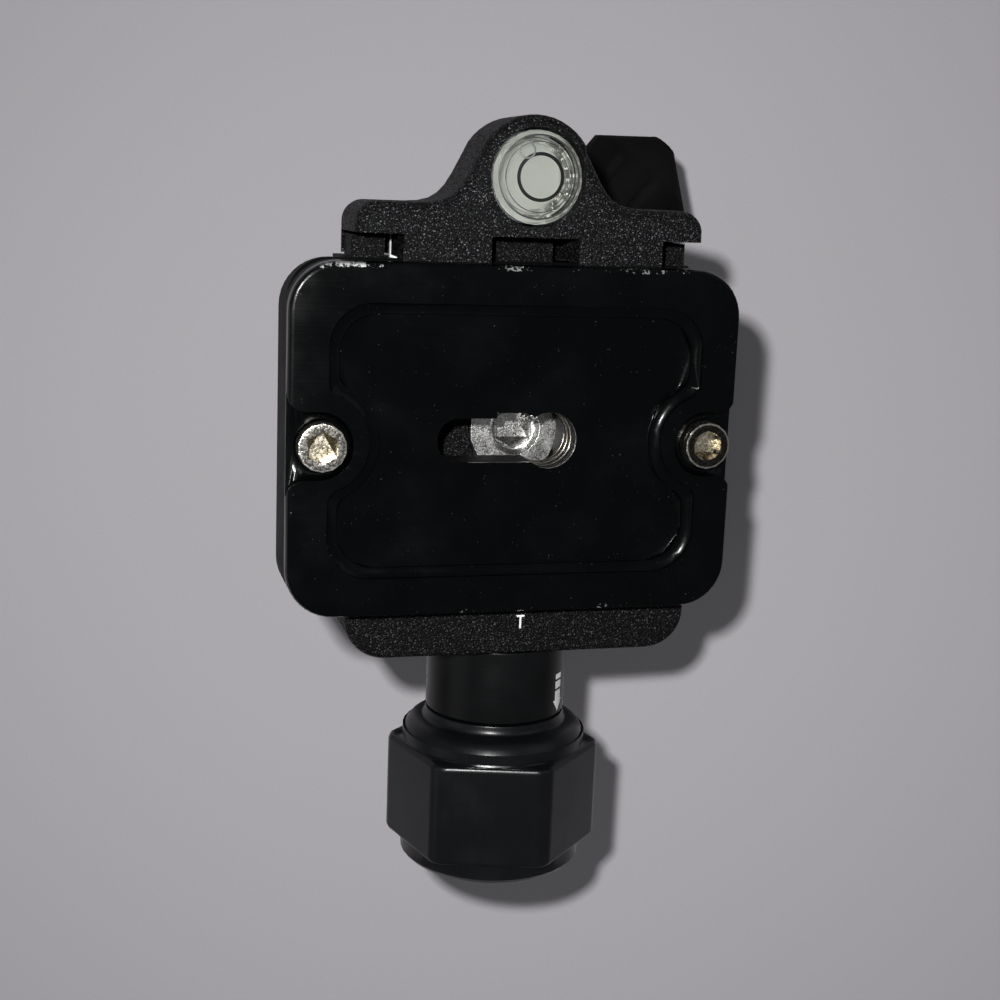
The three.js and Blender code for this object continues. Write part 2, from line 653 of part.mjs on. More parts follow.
// The ball and its stem
function ballParts() {
  const group = new THREE.Group();
  const flatRadius = Math.sqrt(ball.radius ** 2 - ball.flat ** 2);
  const start = Math.atan2(ball.flat, flatRadius);
  const steps = facets.ball / 2;
  const arc = Array.from({ length: steps + 1 }, (_, i) => {
    const angle = start - (start + quarterTurn) * i / steps;
    return [i === steps ? 0 : ball.radius * Math.cos(angle), ball.radius * Math.sin(angle)];
  });
  const floor = ball.flat - ball.socketDepth;
  const foot = [[0, floor], [ball.socketRadius, floor], [ball.socketRadius, ball.flat]];
  const sphere = turned([...foot, ...arc], facets.ball);
  const spigot = ball.socketRadius - touch;
  const neckFoot = ball.flat + touch;
  const neck = turned([
    [0, floor + touch], [spigot, floor + touch], [spigot, neckFoot], [stem.neck, neckFoot],
    [stem.neck, stem.neckTop - touch], [stem.neck + touch, stem.neckTop], [stem.flange, stem.neckTop],
    [stem.flange, stem.flangeTop], [centreScrew.shank + touch, stem.flangeTop],
    [centreScrew.shank + touch, stem.bore], [0, stem.bore],
  ], facets.grip);
  const pins = [-1, 1].map((side) => post(
    stem.pinRadius + touch, stem.flangeTop - stem.pinDepth - touch, stem.flangeTop + overrun, facets.screw,
  ).translate(side * stem.pinCircle, 0, 0));
  group.add(
    piece('ball', solid(sphere), finishes.ball),
    piece('stem', less(solid(neck), ...pins), finishes.satin),
  );
  return group;
}

const screwAxis = (geometry) => alongFront(geometry).translate(0, 0, clamp.screwHeight);

// The fixed part of the clamp: floor, near jaw and the three tongues that guide the far jaw
function clampBody() {
  const top = clamp.jawTop;
  const section = [
    [-clamp.frontReach, clamp.bottom], [clamp.floorEnd, clamp.bottom], [clamp.floorEnd, clamp.floorTop],
    [-clamp.wall, clamp.floorTop], [-clamp.wall, clamp.flankFoot],
    [-clamp.nose, clamp.flankFoot + clamp.wall - clamp.nose], [-clamp.nose, top], [-clamp.frontReach, top],
  ];
  const plan = outline([
    [-clamp.half, -clamp.frontReach, clamp.corner], [clamp.half, -clamp.frontReach, clamp.corner],
    [clamp.half, clamp.floorEnd, 0], [-clamp.half, clamp.floorEnd, 0],
  ]);
  const full = solid(drawn(section, clamp.half + overrun))
    .intersect(solid(raised(plan, clamp.bottom, top, clamp.edge)));
  const tongue = (from, to) => bar(
    [from, clamp.floorEnd - overrun, clamp.floorTop - clamp.tongueThick],
    [to, clamp.tongueReach, clamp.floorTop - rise],
  );
  const tongues = [
    tongue(-clamp.midTongue, clamp.midTongue),
    tongue(clamp.sideTongueInner, clamp.sideTongueOuter),
    tongue(-clamp.sideTongueOuter, -clamp.sideTongueInner),
  ];
  const relief = (from, to) => bar(
    [from, -clamp.reliefHalf, clamp.floorTop - clamp.reliefDepth],
    [to, clamp.reliefHalf, clamp.floorTop + overrun],
  );
  const channelEnd = link.nearEnd + touch * 2;
  const gap = link.half + touch;
  const pocketTop = link.blockTop + touch;
  const pins = [-1, 1].map((side) => post(
    stem.pinRadius + touch, clamp.bottom - overrun, clamp.bottom + stem.pinDepth + touch, facets.screw,
  ).translate(side * stem.pinCircle, 0, 0));
  const sides = [-1, 1].flatMap((side) => [
    alongY(post(rod.radius + touch, rod.near - touch, clamp.floorEnd + overrun, facets.screw))
      .translate(side * rod.place, 0, rod.height),
    alongY(post(
      jawSpring.radius + touch, clamp.floorEnd - jawSpring.length, clamp.floorEnd + overrun, facets.screw,
    ))
      .translate(side * jawSpring.place, 0, jawSpring.height),
  ]);
  const boss = screwAxis(turned([
    [0, clamp.frontReach - clamp.bossLength], [clamp.boss, clamp.frontReach - clamp.bossLength],
    [clamp.boss, clamp.frontReach - clamp.edge], [clamp.boss - clamp.edge, clamp.frontReach],
    [0, clamp.frontReach],
  ], facets.grip));
  return less(
    [boss, ...tongues].reduce((sum, next) => sum.add(solid(next)), full),
    relief(clamp.endRelief, clamp.half + overrun), relief(-clamp.half - overrun, -clamp.endRelief),
    bar([-gap, -channelEnd, clamp.bottom - overrun], [gap, clamp.floorEnd + overrun, link.top + touch]),
    bar(
      [-gap, -channelEnd, clamp.bottom],
      [gap, -link.nearEnd + link.block + link.travel + touch, pocketTop],
    ),
    post(centreScrew.head + touch, clamp.bottom + centreScrew.seat, clamp.floorTop + overrun, facets.grip),
    post(centreScrew.shank + touch, clamp.bottom - overrun, clamp.floorTop, facets.bore),
    screwAxis(post(clampScrew.radius + touch, link.nearEnd, clamp.frontReach + overrun, facets.bore)),
    screwAxis(post(sleeve.spigot + touch, clamp.frontReach - sleeve.spigotLength - touch,
      clamp.frontReach + overrun,
      facets.grip)),
    ...pins, ...sides,
  );
}

// The far jaw: a bell-shaped outline that carries the level, open where the tongues reach in
function farJaw() {
  const flank = bell.saddleX;
  const half = bell.half;
  const inner = clamp.nose;
  const headY = bell.headY;
  const lift = headY - bell.lobeY;
  const out = bell.headRadius * neckOutShare;
  const up = headY + bell.headRadius * neckUpShare;
  const shape = new THREE.Shape();
  shape.moveTo(-half + bell.innerCorner, inner);
  shape.lineTo(half - bell.innerCorner, inner);
  shape.lineTo(half, inner + bell.innerCorner);
  shape.lineTo(half, bell.lobeY - bell.lobeCorner);
  shape.absarc(half - bell.lobeCorner, bell.lobeY - bell.lobeCorner, bell.lobeCorner, 0, quarterTurn, false);
  shape.lineTo(flank + bell.innerCorner, bell.lobeY);
  shape.bezierCurveTo(
    flank - bell.innerCorner, bell.lobeY, bell.headRadius + lift / 2, headY - lift / 2, out, up,
  );
  shape.absarc(0, headY, bell.headRadius, neckAngle, Math.PI - neckAngle, false);
  shape.bezierCurveTo(-bell.headRadius - lift / 2, headY - lift / 2, -flank + bell.innerCorner, bell.lobeY,
    -flank - bell.innerCorner, bell.lobeY);
  shape.lineTo(-half + bell.lobeCorner, bell.lobeY);
  shape.absarc(
    -half + bell.lobeCorner, bell.lobeY - bell.lobeCorner, bell.lobeCorner, quarterTurn, Math.PI, false,
  );
  shape.lineTo(-half, inner + bell.innerCorner);
  shape.closePath();
  const body = raised(shape, bell.bottom, clamp.jawTop, bell.edge, facets.jawSteps, facets.curve);
  const under = drawn([
    [inner - overrun - bell.edge, bell.bottom - overrun], [clamp.wall, bell.bottom - overrun],
    [clamp.wall, clamp.flankFoot], [inner, clamp.flankFoot + clamp.wall - inner],
    [inner - overrun - bell.edge, clamp.flankFoot + clamp.wall - inner],
  ], half + overrun);
  const front = drawn([
    [inner - overrun - bell.edge, clamp.flankFoot], [inner + bell.edge, clamp.flankFoot],
    [inner + bell.edge, clamp.jawTop + overrun], [inner - overrun - bell.edge, clamp.jawTop + overrun],
  ], half + overrun);
  const notch = (from, to) => bar(
    [from, inner - overrun, clamp.floorTop - clamp.tongueThick - touch],
    [to, bell.notchDepth, clamp.jawTop + overrun],
  );
  const deep = link.screwReach + touch;
  const fixings = [-1, 1].flatMap((side) => [
    post(link.screwRadius + touch, bell.bottom - overrun, bell.bottom + deep, facets.screw)
      .translate(side * link.screwX, link.screwY, 0),
    alongY(post(rod.radius + touch, inner, rod.far + touch, facets.screw))
      .translate(side * rod.place, 0, rod.height),
  ]);
  return less(
    solid(body), under, front,
    notch(-bell.midNotch, bell.midNotch),
    notch(bell.sideNotch, half + overrun), notch(-half - overrun, -bell.sideNotch),
    post(level.radius + touch, clamp.jawTop - level.depth, clamp.jawTop + overrun, facets.grip)
      .translate(0, headY, 0),
    ...fixings,
  );
}

// The draw link that joins the far jaw to the nut on the clamp screw
function drawLink() {
  const window = block(
    link.windowHalf, -link.windowHalf - link.travel, link.windowHalf, link.windowHalf * roundShare,
  );
  const plan = (from) => outline([
    [-link.half, from, 0], [link.half, from, 0],
    [link.half, link.farEnd, link.corner], [-link.half, link.farEnd, link.corner],
  ]);
  const body = joined(
    raised(plan(-link.nearEnd), link.bottom, link.top),
    bar(
      [-link.half, -link.nearEnd, link.top - overrun],
      [link.half, -link.nearEnd + link.block, link.blockTop],
    ),
    raised(plan(link.padStart), link.top - overrun, link.padTop),
  );
  const holes = [-1, 1].flatMap((side) => [
    post(link.screwRadius + touch, link.bottom - overrun, link.padTop + overrun, facets.screw)
      .translate(side * link.screwX, link.screwY, 0),
    post(
      link.screwHead + touch, link.bottom - overrun, link.bottom + link.screwHeadHeight + touch,
      facets.screw,
    )
      .translate(side * link.screwX, link.screwY, 0),
  ]);
  return less(
    body, raised(window, link.bottom - overrun, link.top + overrun),
    screwAxis(post(clampScrew.radius + touch, 0, clamp.frontReach, facets.bore)),
    ...holes,
  );
}

// The clamp screw with its sleeve, retaining ring and six-sided knob
function clampDrive() {
  const group = new THREE.Group();
  const front = clamp.frontReach + touch;
  const sleeveEnd = front + sleeve.length;
  const knobFrom = sleeveEnd + touch;
  const collarFrom = front - sleeve.spigotLength;
  const collarTo = collarFrom + sleeve.collarLength;
  const gripFrom = knobFrom + knob.collarLength;
  const gripTo = gripFrom + knob.gripLength;
  const end = gripTo + knob.lipLength;
  const rodEnd = knobFrom + knob.screwIn;
  const shank = clampScrew.radius;
  const spindleBody = turned([
    [0, link.nearEnd - link.block - touch], [shank, link.nearEnd - link.block - touch], [shank, collarFrom],
    [sleeve.collarRadius, collarFrom], [sleeve.collarRadius, collarTo], [shank, collarTo], [shank, rodEnd],
    [0, rodEnd],
  ], facets.bore);
  const mouth = sleeve.radius + knob.mouthStep;
  const crest = knobFrom + knob.mouth;
  const dish = Array.from({ length: facets.corner }, (_, i) => {
    const angle = i / facets.corner * quarterTurn;
    const across = sleeve.radius + (mouth - sleeve.radius) * (1 - Math.cos(angle));
    return [across, knobFrom + knob.mouth * Math.sin(angle)];
  });
  const shoulder = Array.from({ length: facets.corner }, (_, i) => {
    const angle = (i + 1) / facets.corner * quarterTurn;
    return [mouth + (knob.collar - mouth) * Math.sin(angle), crest + knob.shoulder * (1 - Math.cos(angle))];
  });
  const bead = gripFrom - knob.groove;
  const flare = turned([
    [0, knobFrom], ...dish, [mouth, crest], ...shoulder, [knob.collar, bead - knob.groove],
    [knob.collar - knob.grooveDepth, bead], [knob.collar, gripFrom], [knob.collar, gripFrom + overrun],
    [0, gripFrom + overrun],
  ], facets.wall);
  const lip = turned([
    [0, gripTo - overrun], [knob.lip, gripTo - overrun], [knob.lip, end - knob.edge],
    [knob.lip - knob.edge, end],
    [0, end],
  ], facets.wall);
  const corners = Array.from({ length: knob.sideCount }, (_, i) => {
    const angle = i / knob.sideCount * Math.PI * 2;
    const reach = knob.flats / 2 / Math.cos(Math.PI / knob.sideCount);
    return [reach * Math.cos(angle), reach * Math.sin(angle), knob.cornerBlend];
  });
  const grip = raised(outline(corners), gripFrom, gripTo, knob.edge);
  const knobBody = less(
    joined(flare, lip, grip),
    post(shank + touch, 0, rodEnd + touch, facets.bore),
    post(knob.endShank + touch, rodEnd, end, facets.screw),
    post(knob.recess, end - knob.recessDepth, end + overrun, facets.bore),
  );
  const endSeat = end - knob.recessDepth + touch;
  const endScrew = screw(
    knob.endHead, knob.endHeadHeight, knob.endShank, rodEnd + touch, endSeat + knob.endHeadHeight,
    knob.hex, knob.hexDepth,
  );
  const knobMesh = piece('clamp_knob', knobBody, finishes.satin);
  const screwMesh = piece('clamp_screw', solid(spindleBody), finishes.steel);
  const endMesh = piece('clamp_knob_screw', endScrew, finishes.steel);
  const sleeveBody = turned([
    [sleeve.bore, front - sleeve.spigotLength], [sleeve.spigot, front - sleeve.spigotLength],
    [sleeve.spigot, front],
    [sleeve.radius, front], [sleeve.radius, sleeveEnd], [sleeve.bore, sleeveEnd],
  ], facets.wall);
  const sleeveMesh = piece('clamp_sleeve', solid(sleeveBody), finishes.satin);
  const ringFrom = collarTo + touch;
  const ringMesh = piece(
    'screw_retaining_ring',
    solid(tube(shank + touch, sleeve.bore - touch, ringFrom, ringFrom + sleeve.ringHeight, facets.bore)),
    finishes.steel,
  );
  const drive = [knobMesh, screwMesh, endMesh, sleeveMesh, ringMesh];
  drive.forEach((mesh) => {
    mesh.rotation.x = quarterTurn;
    mesh.position.z = clamp.screwHeight;
  });
  knobMesh.rotation.z = knob.turn;
  group.add(...drive);
  return group;
}

// The clamp: body, far jaw, their guides, the draw link and the fixings
function clampParts() {
  const group = new THREE.Group();
  const headFoot = clamp.bottom + centreScrew.seat + touch;
  const headTop = headFoot + centreScrew.headHeight;
  const fixing = less(
    screw(centreScrew.head, centreScrew.headHeight, centreScrew.shank, centreScrew.tip, headTop,
      centreScrew.hex, centreScrew.hexDepth),
    turned([
      [0, headTop - centreScrew.dish], [centreScrew.hex + centreScrew.dish, headTop - centreScrew.dish],
      [centreScrew.hex + centreScrew.dish * 2, headTop + rise], [0, headTop + rise],
    ], facets.bore),
  );
  group.add(
    piece('clamp_body', clampBody(), finishes.crinkle),
    piece('far_jaw', farJaw(), finishes.crinkle),
    piece('draw_link', drawLink(), finishes.steel),
    piece('clamp_centre_screw', fixing, finishes.steel),
  );
  [-1, 1].forEach((side) => {
    const word = side < 0 ? 'left' : 'right';
    const pin = post(
      stem.pinRadius, stem.flangeTop - stem.pinDepth, clamp.bottom + stem.pinDepth, facets.screw,
    );
    const pinMesh = piece(`clamp_pin_${word}`, solid(pin), finishes.steel);
    pinMesh.position.x = side * stem.pinCircle;
    const rodBody = solid(alongY(post(rod.radius, rod.near, rod.far, facets.screw)));
    const rodMesh = piece(`guide_rod_${word}`, rodBody, finishes.steel);
    rodMesh.position.set(side * rod.place, 0, rod.height);
    const springFrom = clamp.floorEnd - jawSpring.length + touch;
    const coil = tube(jawSpring.bore, jawSpring.radius, springFrom, clamp.wall - touch, facets.screw);
    const coilMesh = piece(`jaw_spring_${word}`, solid(alongY(coil)), finishes.steel);
    coilMesh.position.set(side * jawSpring.place, 0, jawSpring.height);
    const holdBody = screw(
      link.screwHead, link.screwHeadHeight, link.screwRadius,
      -bell.bottom - link.screwReach, -link.bottom - touch / 3,
      stopScrew.hex, link.screwHeadHeight / 2,
    );
    const hold = piece(`link_screw_${word}`, solid(toGeometry(holdBody).rotateX(Math.PI)), finishes.steel);
    hold.position.set(side * link.screwX, link.screwY, 0);
    group.add(pinMesh, rodMesh, coilMesh, hold);
  });
  return group;
}

// The round level set into the far jaw
function levelParts() {
  const group = new THREE.Group();
  const floor = clamp.jawTop - level.depth + touch;
  const vialFoot = floor + level.discThickness + touch;
  const vial = turned([
    [0, vialFoot], [level.radius, vialFoot], [level.radius, clamp.jawTop - level.rim],
    [level.radius - level.rim, clamp.jawTop], [level.radius / 2, clamp.jawTop + level.dome * domeShare],
    [0, clamp.jawTop + level.dome],
  ], facets.grip);
  const vialMesh = piece('level_vial', solid(vial), finishes.clear);
  const pale = solid(post(level.discRadius, floor, floor + level.discThickness, facets.grip));
  const discMesh = piece('level_disc', pale, finishes.white);
  vialMesh.position.y = bell.headY;
  discMesh.position.y = bell.headY;
  group.add(vialMesh, discMesh);
  return group;
}

// The pocket of the plate: a long rounded shape drawn in round both stop screws
function pocketShape(inset) {
  const halfX = plate.pocketLength / 2 - inset;
  const halfY = plate.pocketWidth / 2 - inset;
  const rim = plate.bossRim + inset;
  const corner = plate.pocketCorner - inset / 2;
  const mouth = Math.sqrt(Math.max(rim ** 2 - (stopScrew.place - halfX) ** 2, rim));
  const side = plate.blend / 2;
  const shape = new THREE.Shape();
  const start = Math.atan2(mouth - side, stopScrew.place - halfX + side);
  shape.moveTo(-halfX + corner, -halfY);
  shape.lineTo(halfX - corner, -halfY);
  shape.absarc(halfX - corner, -halfY + corner, corner, -quarterTurn, 0, false);
  shape.lineTo(halfX, -mouth - side);
  shape.quadraticCurveTo(halfX, -mouth, stopScrew.place - rim * Math.cos(start), -rim * Math.sin(start));
  shape.absarc(stopScrew.place, 0, rim, Math.PI + start, Math.PI - start, true);
  shape.quadraticCurveTo(halfX, mouth, halfX, mouth + side);
  shape.absarc(halfX - corner, halfY - corner, corner, 0, quarterTurn, false);
  shape.absarc(-halfX + corner, halfY - corner, corner, quarterTurn, Math.PI, false);
  shape.lineTo(-halfX, mouth + side);
  shape.quadraticCurveTo(-halfX, mouth, -stopScrew.place + rim * Math.cos(start), rim * Math.sin(start));
  shape.absarc(-stopScrew.place, 0, rim, start, -start, true);
  shape.quadraticCurveTo(-halfX, -mouth, -halfX, -mouth - side);
  shape.absarc(-halfX + corner, -halfY + corner, corner, Math.PI, Math.PI * 1.5, false);
  return shape;
}

// Where a stop screw stands along the plate
const stopX = (side) => side * stopScrew.place + stopScrew.shiftX;

// The camera plate with its dovetail, pocket, screw slot and two stop screws
function plateParts() {
  const group = new THREE.Group();
  group.position.x = plate.shift;
  const half = plate.width / 2;
  const [bottom, top] = [plate.bottom, plate.top];
  const shelf = top - plate.topFlange;
  const footTop = bottom + plate.foot;
  const grooveFoot = footTop + half - plate.groove;
  const section = [
    [-half, bottom], [half, bottom], [half, footTop], [plate.groove, grooveFoot], [plate.groove, shelf],
    [half, shelf], [half, top], [-half, top], [-half, shelf],
    [-plate.groove, shelf], [-plate.groove, grooveFoot],
    [-half, footTop],
  ];
  const plan = block(plate.length / 2, -half, half, plate.corner);
  const blank = solid(drawn(section, plate.length / 2 + overrun))
    .intersect(solid(raised(plan, bottom, top, plate.edge)));
  const slotCentre = -plate.slotReach / 2 + plate.entryX / 2;
  const slotWide = plate.slotReach / 2 + plate.entryX / 2;
  const slotShape = block(slotWide, -plate.slotHalf, plate.slotHalf, plate.slotHalf * roundShare);
  const pocketFloor = top - plate.pocketDepth - plate.floorDepth;
  const reliefFrom = stopScrew.place - stopScrew.head - plate.reliefInset;
  const relief = (side) => {
    const edge = plate.length / 2 + rise;
    const round = plate.reliefHalf * roundShare;
    const wide = plate.reliefHalf + plate.reliefLip + overrun;
    const shape = outline([
      [reliefFrom, -plate.reliefHalf, round], [edge, -plate.reliefHalf, plate.reliefLip], [edge, -wide, 0],
      [edge + overrun, -wide, 0], [edge + overrun, wide, 0], [edge, wide, 0],
      [edge, plate.reliefHalf, plate.reliefLip], [reliefFrom, plate.reliefHalf, round],
    ]);
    const cut = raised(shape, top - plate.reliefDepth, top + overrun);
    return (side < 0 ? cut.rotateZ(Math.PI) : cut).translate(0, plate.reliefShift, 0);
  };
  const headFoot = top - stopScrew.sunk - stopScrew.headHeight;
  const holes = [-1, 1].flatMap((side) => [
    relief(side),
    post(stopScrew.shank + touch, bottom - overrun, top + overrun, facets.screw)
      .translate(stopX(side), stopScrew.shiftY, 0),
    post(stopScrew.head + touch, headFoot - touch, top + overrun, facets.bore)
      .translate(stopX(side), stopScrew.shiftY, 0),
  ]);
  const under = block(slotWide + plate.undercut, -plate.undercutWidth, plate.undercutWidth, plate.undercut);
  const body = less(
    blank,
    raised(pocketShape(0), top - plate.pocketDepth, top + overrun),
    raised(pocketShape(plate.floorInset), pocketFloor, top),
    raised(slotShape, bottom - overrun, top + overrun).translate(slotCentre, 0, 0),
    post(plate.entryRadius, bottom - overrun, top + overrun, facets.bore).translate(plate.entryX, 0, 0),
    bar(
      [-plate.keyHalf, 0, bottom - overrun],
      [plate.keyHalf, plate.slotHalf + plate.keyDepth, top + overrun],
    ),
    raised(under, bottom - overrun, bottom + plate.undercut).translate(slotCentre, 0, 0),
    ...holes,
  );
  group.add(piece('quick_release_plate', body, finishes.gloss));
  [-1, 1].forEach((side) => {
    const headTop = headFoot + stopScrew.headHeight;
    const stop = screw(
      stopScrew.head, stopScrew.headHeight, stopScrew.shank, bottom - stopScrew.below, headTop,
      stopScrew.hex, stopScrew.hexDepth,
    );
    const mesh = piece(`stop_screw_${side < 0 ? 'left' : 'right'}`, stop, finishes.steel);
    mesh.position.set(stopX(side), stopScrew.shiftY, 0);
    group.add(mesh);
  });
  return group;
}

// The whole head
const head = new THREE.Group();
head.name = 'ball_head';
head.position.set(panAxis.x, panAxis.y, 0);
const upper = new THREE.Group();
upper.position.z = ball.height;
upper.quaternion.setFromAxisAngle(
  new THREE.Vector3(Math.cos(pose.leanAxis), Math.sin(pose.leanAxis), 0), pose.lean,
);
upper.add(ballParts(), clampParts(), clampDrive(), levelParts(), plateParts());
head.add(baseParts(), bodyParts(), ballLockParts(), panLockParts(), upper);

const part = new THREE.Group();
part.add(head);

export default part;
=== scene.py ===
"""A compact tripod ball head with a screw-driven dovetail clamp, seen from straight above."""
from __future__ import annotations

import json
import logging
import math
from dataclasses import dataclass, replace
from enum import Enum
from typing import Callable, Iterable, Sequence

import bmesh
import bpy
from mathutils import Matrix, Vector


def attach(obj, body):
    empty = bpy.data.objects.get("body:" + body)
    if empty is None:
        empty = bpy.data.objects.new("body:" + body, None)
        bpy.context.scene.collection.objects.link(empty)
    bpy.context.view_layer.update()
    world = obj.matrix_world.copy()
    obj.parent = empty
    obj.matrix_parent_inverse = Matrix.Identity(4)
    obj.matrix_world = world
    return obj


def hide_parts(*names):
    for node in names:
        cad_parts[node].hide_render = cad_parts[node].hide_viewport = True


LOG = logging.getLogger("ball_head")
Colour = tuple[float, float, float]
Point = tuple[float, float, float]
Pair = tuple[float, float]
MM = 0.001

# Where the pan axis stands, in metres
PAN_AXIS = Vector((-6.16, 11.627, 0.0)) * MM
# Heights in millimetres: the ball and both lock screws over the ground, the clamp screw over the ball
BALL_HEIGHT = 36.0
BALL_LOCK_HEIGHT = 29.98
PAN_LOCK_HEIGHT = 10.9
CLAMP_SCREW_HEIGHT = 27.4
# On the leaning head, in millimetres: the plate's shift along the clamp, and the level's middle
PLATE_SHIFT = -2.2
LEVEL_Y = 28.0
# How thick the white ink lies, in millimetres
INK = 0.03
# The head's lean, the direction of the axis it leans about, and where the two lock screws point
LEAN = math.radians(19.2)
LEAN_AXIS = math.radians(53.4)
BALL_LOCK = math.radians(50.3)
PAN_LOCK = math.radians(-42.0)


@dataclass(frozen=True)
class Place:
    """A local frame on the part: where it starts and how its axes lie.

    Args:
        matrix: the transform from local metres to the part's frame.
    """

    matrix: Matrix

    def axis(self, index: int) -> Vector:
        """One of the frame's axes, as a unit vector."""
        return self.matrix.to_3x3().col[index].normalized()

    def moved(self, x: float = 0.0, y: float = 0.0, z: float = 0.0) -> Place:
        """A frame shifted along its own axes, in millimetres."""
        return Place(self.matrix @ Matrix.Translation(Vector((x, y, z)) * MM))

    def turned(self, angle: float, axis: str) -> Place:
        """A frame turned about one of its own axes."""
        return Place(self.matrix @ Matrix.Rotation(angle, 4, axis))


UPRIGHT = Place(Matrix.Translation(PAN_AXIS))
BALL = UPRIGHT.moved(z=BALL_HEIGHT)
LEAN_TURN = Matrix.Rotation(LEAN, 4, Vector((math.cos(LEAN_AXIS), math.sin(LEAN_AXIS), 0.0)))
HEAD = Place(BALL.matrix @ LEAN_TURN)
KNOB = HEAD.moved(z=CLAMP_SCREW_HEIGHT).turned(math.pi / 2, "X")
BALL_LOCK_AXIS = UPRIGHT.moved(z=BALL_LOCK_HEIGHT).turned(BALL_LOCK, "Z").turned(math.pi / 2, "Y")
PAN_LOCK_AXIS = UPRIGHT.moved(z=PAN_LOCK_HEIGHT).turned(PAN_LOCK, "Z").turned(math.pi / 2, "Y")


def math_node(operation: str) -> Callable[..., Value]:
    """A method of Value that adds one Math node of that operation on it and others."""
    def method(first: Value, *others: Value | float) -> Value:
        inputs = {index: item for index, item in enumerate((first, *others))}
        return first.graph.node("ShaderNodeMath", {"operation": operation}, inputs)

    return method


class Value:
    """A socket of a shader tree; Python's operators on it add the Math nodes.

    Args:
        graph: the graph that the socket belongs to.
        socket: the output socket.
    """

    __add__ = math_node("ADD")
    __sub__ = math_node("SUBTRACT")
    __mul__ = math_node("MULTIPLY")
    __truediv__ = math_node("DIVIDE")
    __abs__ = math_node("ABSOLUTE")
    root = math_node("SQRT")
    sine = math_node("SINE")
    least = math_node("MINIMUM")
    most = math_node("MAXIMUM")

    def __init__(self, graph: Graph, socket: bpy.types.NodeSocket) -> None:
        """Keeps the graph and the socket."""
        self.graph = graph
        self.socket = socket

    def __rsub__(self, other: float) -> Value:
        """Other less this."""
        return self.graph.node("ShaderNodeMath", {"operation": "SUBTRACT"}, {0: other, 1: self})

    def step(self, low: float, high: float) -> Value:
        """A smooth step that rises from 0 at low to 1 at high."""
        inputs = {"Value": self, "From Min": low, "From Max": high, "To Min": 0.0, "To Max": 1.0}
        return self.graph.node("ShaderNodeMapRange", {"interpolation_type": "SMOOTHSTEP"}, inputs)


def feed(tree: bpy.types.NodeTree, node: bpy.types.Node, inputs: dict) -> None:
    """Links or sets a node's inputs, given by socket name or index."""
    for key, item in inputs.items():
        source = item.socket if isinstance(item, Value) else item
        if isinstance(source, bpy.types.NodeSocket):
            tree.links.new(source, node.inputs[key])
        else:
            node.inputs[key].default_value = source


def add_node(tree: bpy.types.NodeTree, kind: str, settings: dict | None,
             inputs: dict | None) -> bpy.types.Node:
    """Adds a node of that kind with its properties and inputs."""
    node = tree.nodes.new(kind)
    for key, setting in (settings or {}).items():
        setattr(node, key, setting)
    feed(tree, node, inputs or {})
    return node


class Graph:
    """Adds nodes to one material's tree.

    Args:
        tree: the node tree to fill.
    """

    def __init__(self, tree: bpy.types.NodeTree) -> None:
        """Keeps the tree."""
        self.tree = tree

    def node(self, kind: str, settings: dict | None = None, inputs: dict | None = None,
             output: str | int = 0) -> Value:
        """Adds one node.

        Args:
            kind: the node's type.
            settings: its properties.
            inputs: numbers, colours or Values by socket name or index.
            output: the output socket to hand back.

        Returns:
            The chosen output.
        """
        return Value(self, add_node(self.tree, kind, settings, inputs).outputs[output])

    def point(self) -> Value:
        """The object coordinates."""
        return self.node("ShaderNodeTexCoord", output="Object")

    def local(self, place: Place) -> tuple[Value, Value, Value]:
        """The coordinates in a local frame, in millimetres."""
        start = self.node("ShaderNodeVectorMath", {"operation": "SUBTRACT"},
                          {0: self.point(), 1: place.matrix.translation})
        return tuple(self.node("ShaderNodeVectorMath", {"operation": "DOT_PRODUCT"},
                               {0: start, 1: place.axis(i) / MM}, "Value") for i in range(3))

    def polar(self, place: Place) -> tuple[Value, Value, Value, Value]:
        """The distance from a local frame's Z axis, then x, y and z, in millimetres."""
        x, y, z = self.local(place)
        return (x * x + y * y).root(), x, y, z

    def stretched(self, place: Place, scale: Sequence[float]) -> Value:
        """A vector of local coordinates in millimetres, each times its own scale."""
        x, y, z = self.local(place)
        scaled = {0: x * scale[0], 1: y * scale[1], 2: z * scale[2]}
        return self.node("ShaderNodeCombineXYZ", inputs=scaled)

    def noise(self, scale: float, detail: float = 2.0, vector: Value | None = None) -> Value:
        """Noise of that many cells to the millimetre on object coordinates, or on a given vector."""
        size = scale if vector else scale / MM
        return self.node("ShaderNodeTexNoise", inputs={
            "Vector": vector or self.point(), "Scale": size, "Detail": detail, "Roughness": 0.55})

    def cells(self, scale: float) -> Value:
        """Distance to the nearest of scattered points, that many to the millimetre."""
        return self.node("ShaderNodeTexVoronoi", inputs={
            "Vector": self.point(), "Scale": scale / MM}, output="Distance")

    def blend(self, amount: Value, low: Colour | Value, high: Colour | Value) -> Value:
        """A colour between two, by a mask."""
        first, second = (item if isinstance(item, Value) else (*item, 1.0) for item in (low, high))
        return self.node("ShaderNodeMix", {"data_type": "RGBA"}, {0: amount, 6: first, 7: second}, 2)

    def bump(self, height: Value, distance: float, strength: float = 1.0) -> Value:
        """A bump of that height in millimetres."""
        return self.node("ShaderNodeBump", inputs={
            "Height": height, "Distance": distance * MM, "Strength": strength}, output="Normal")


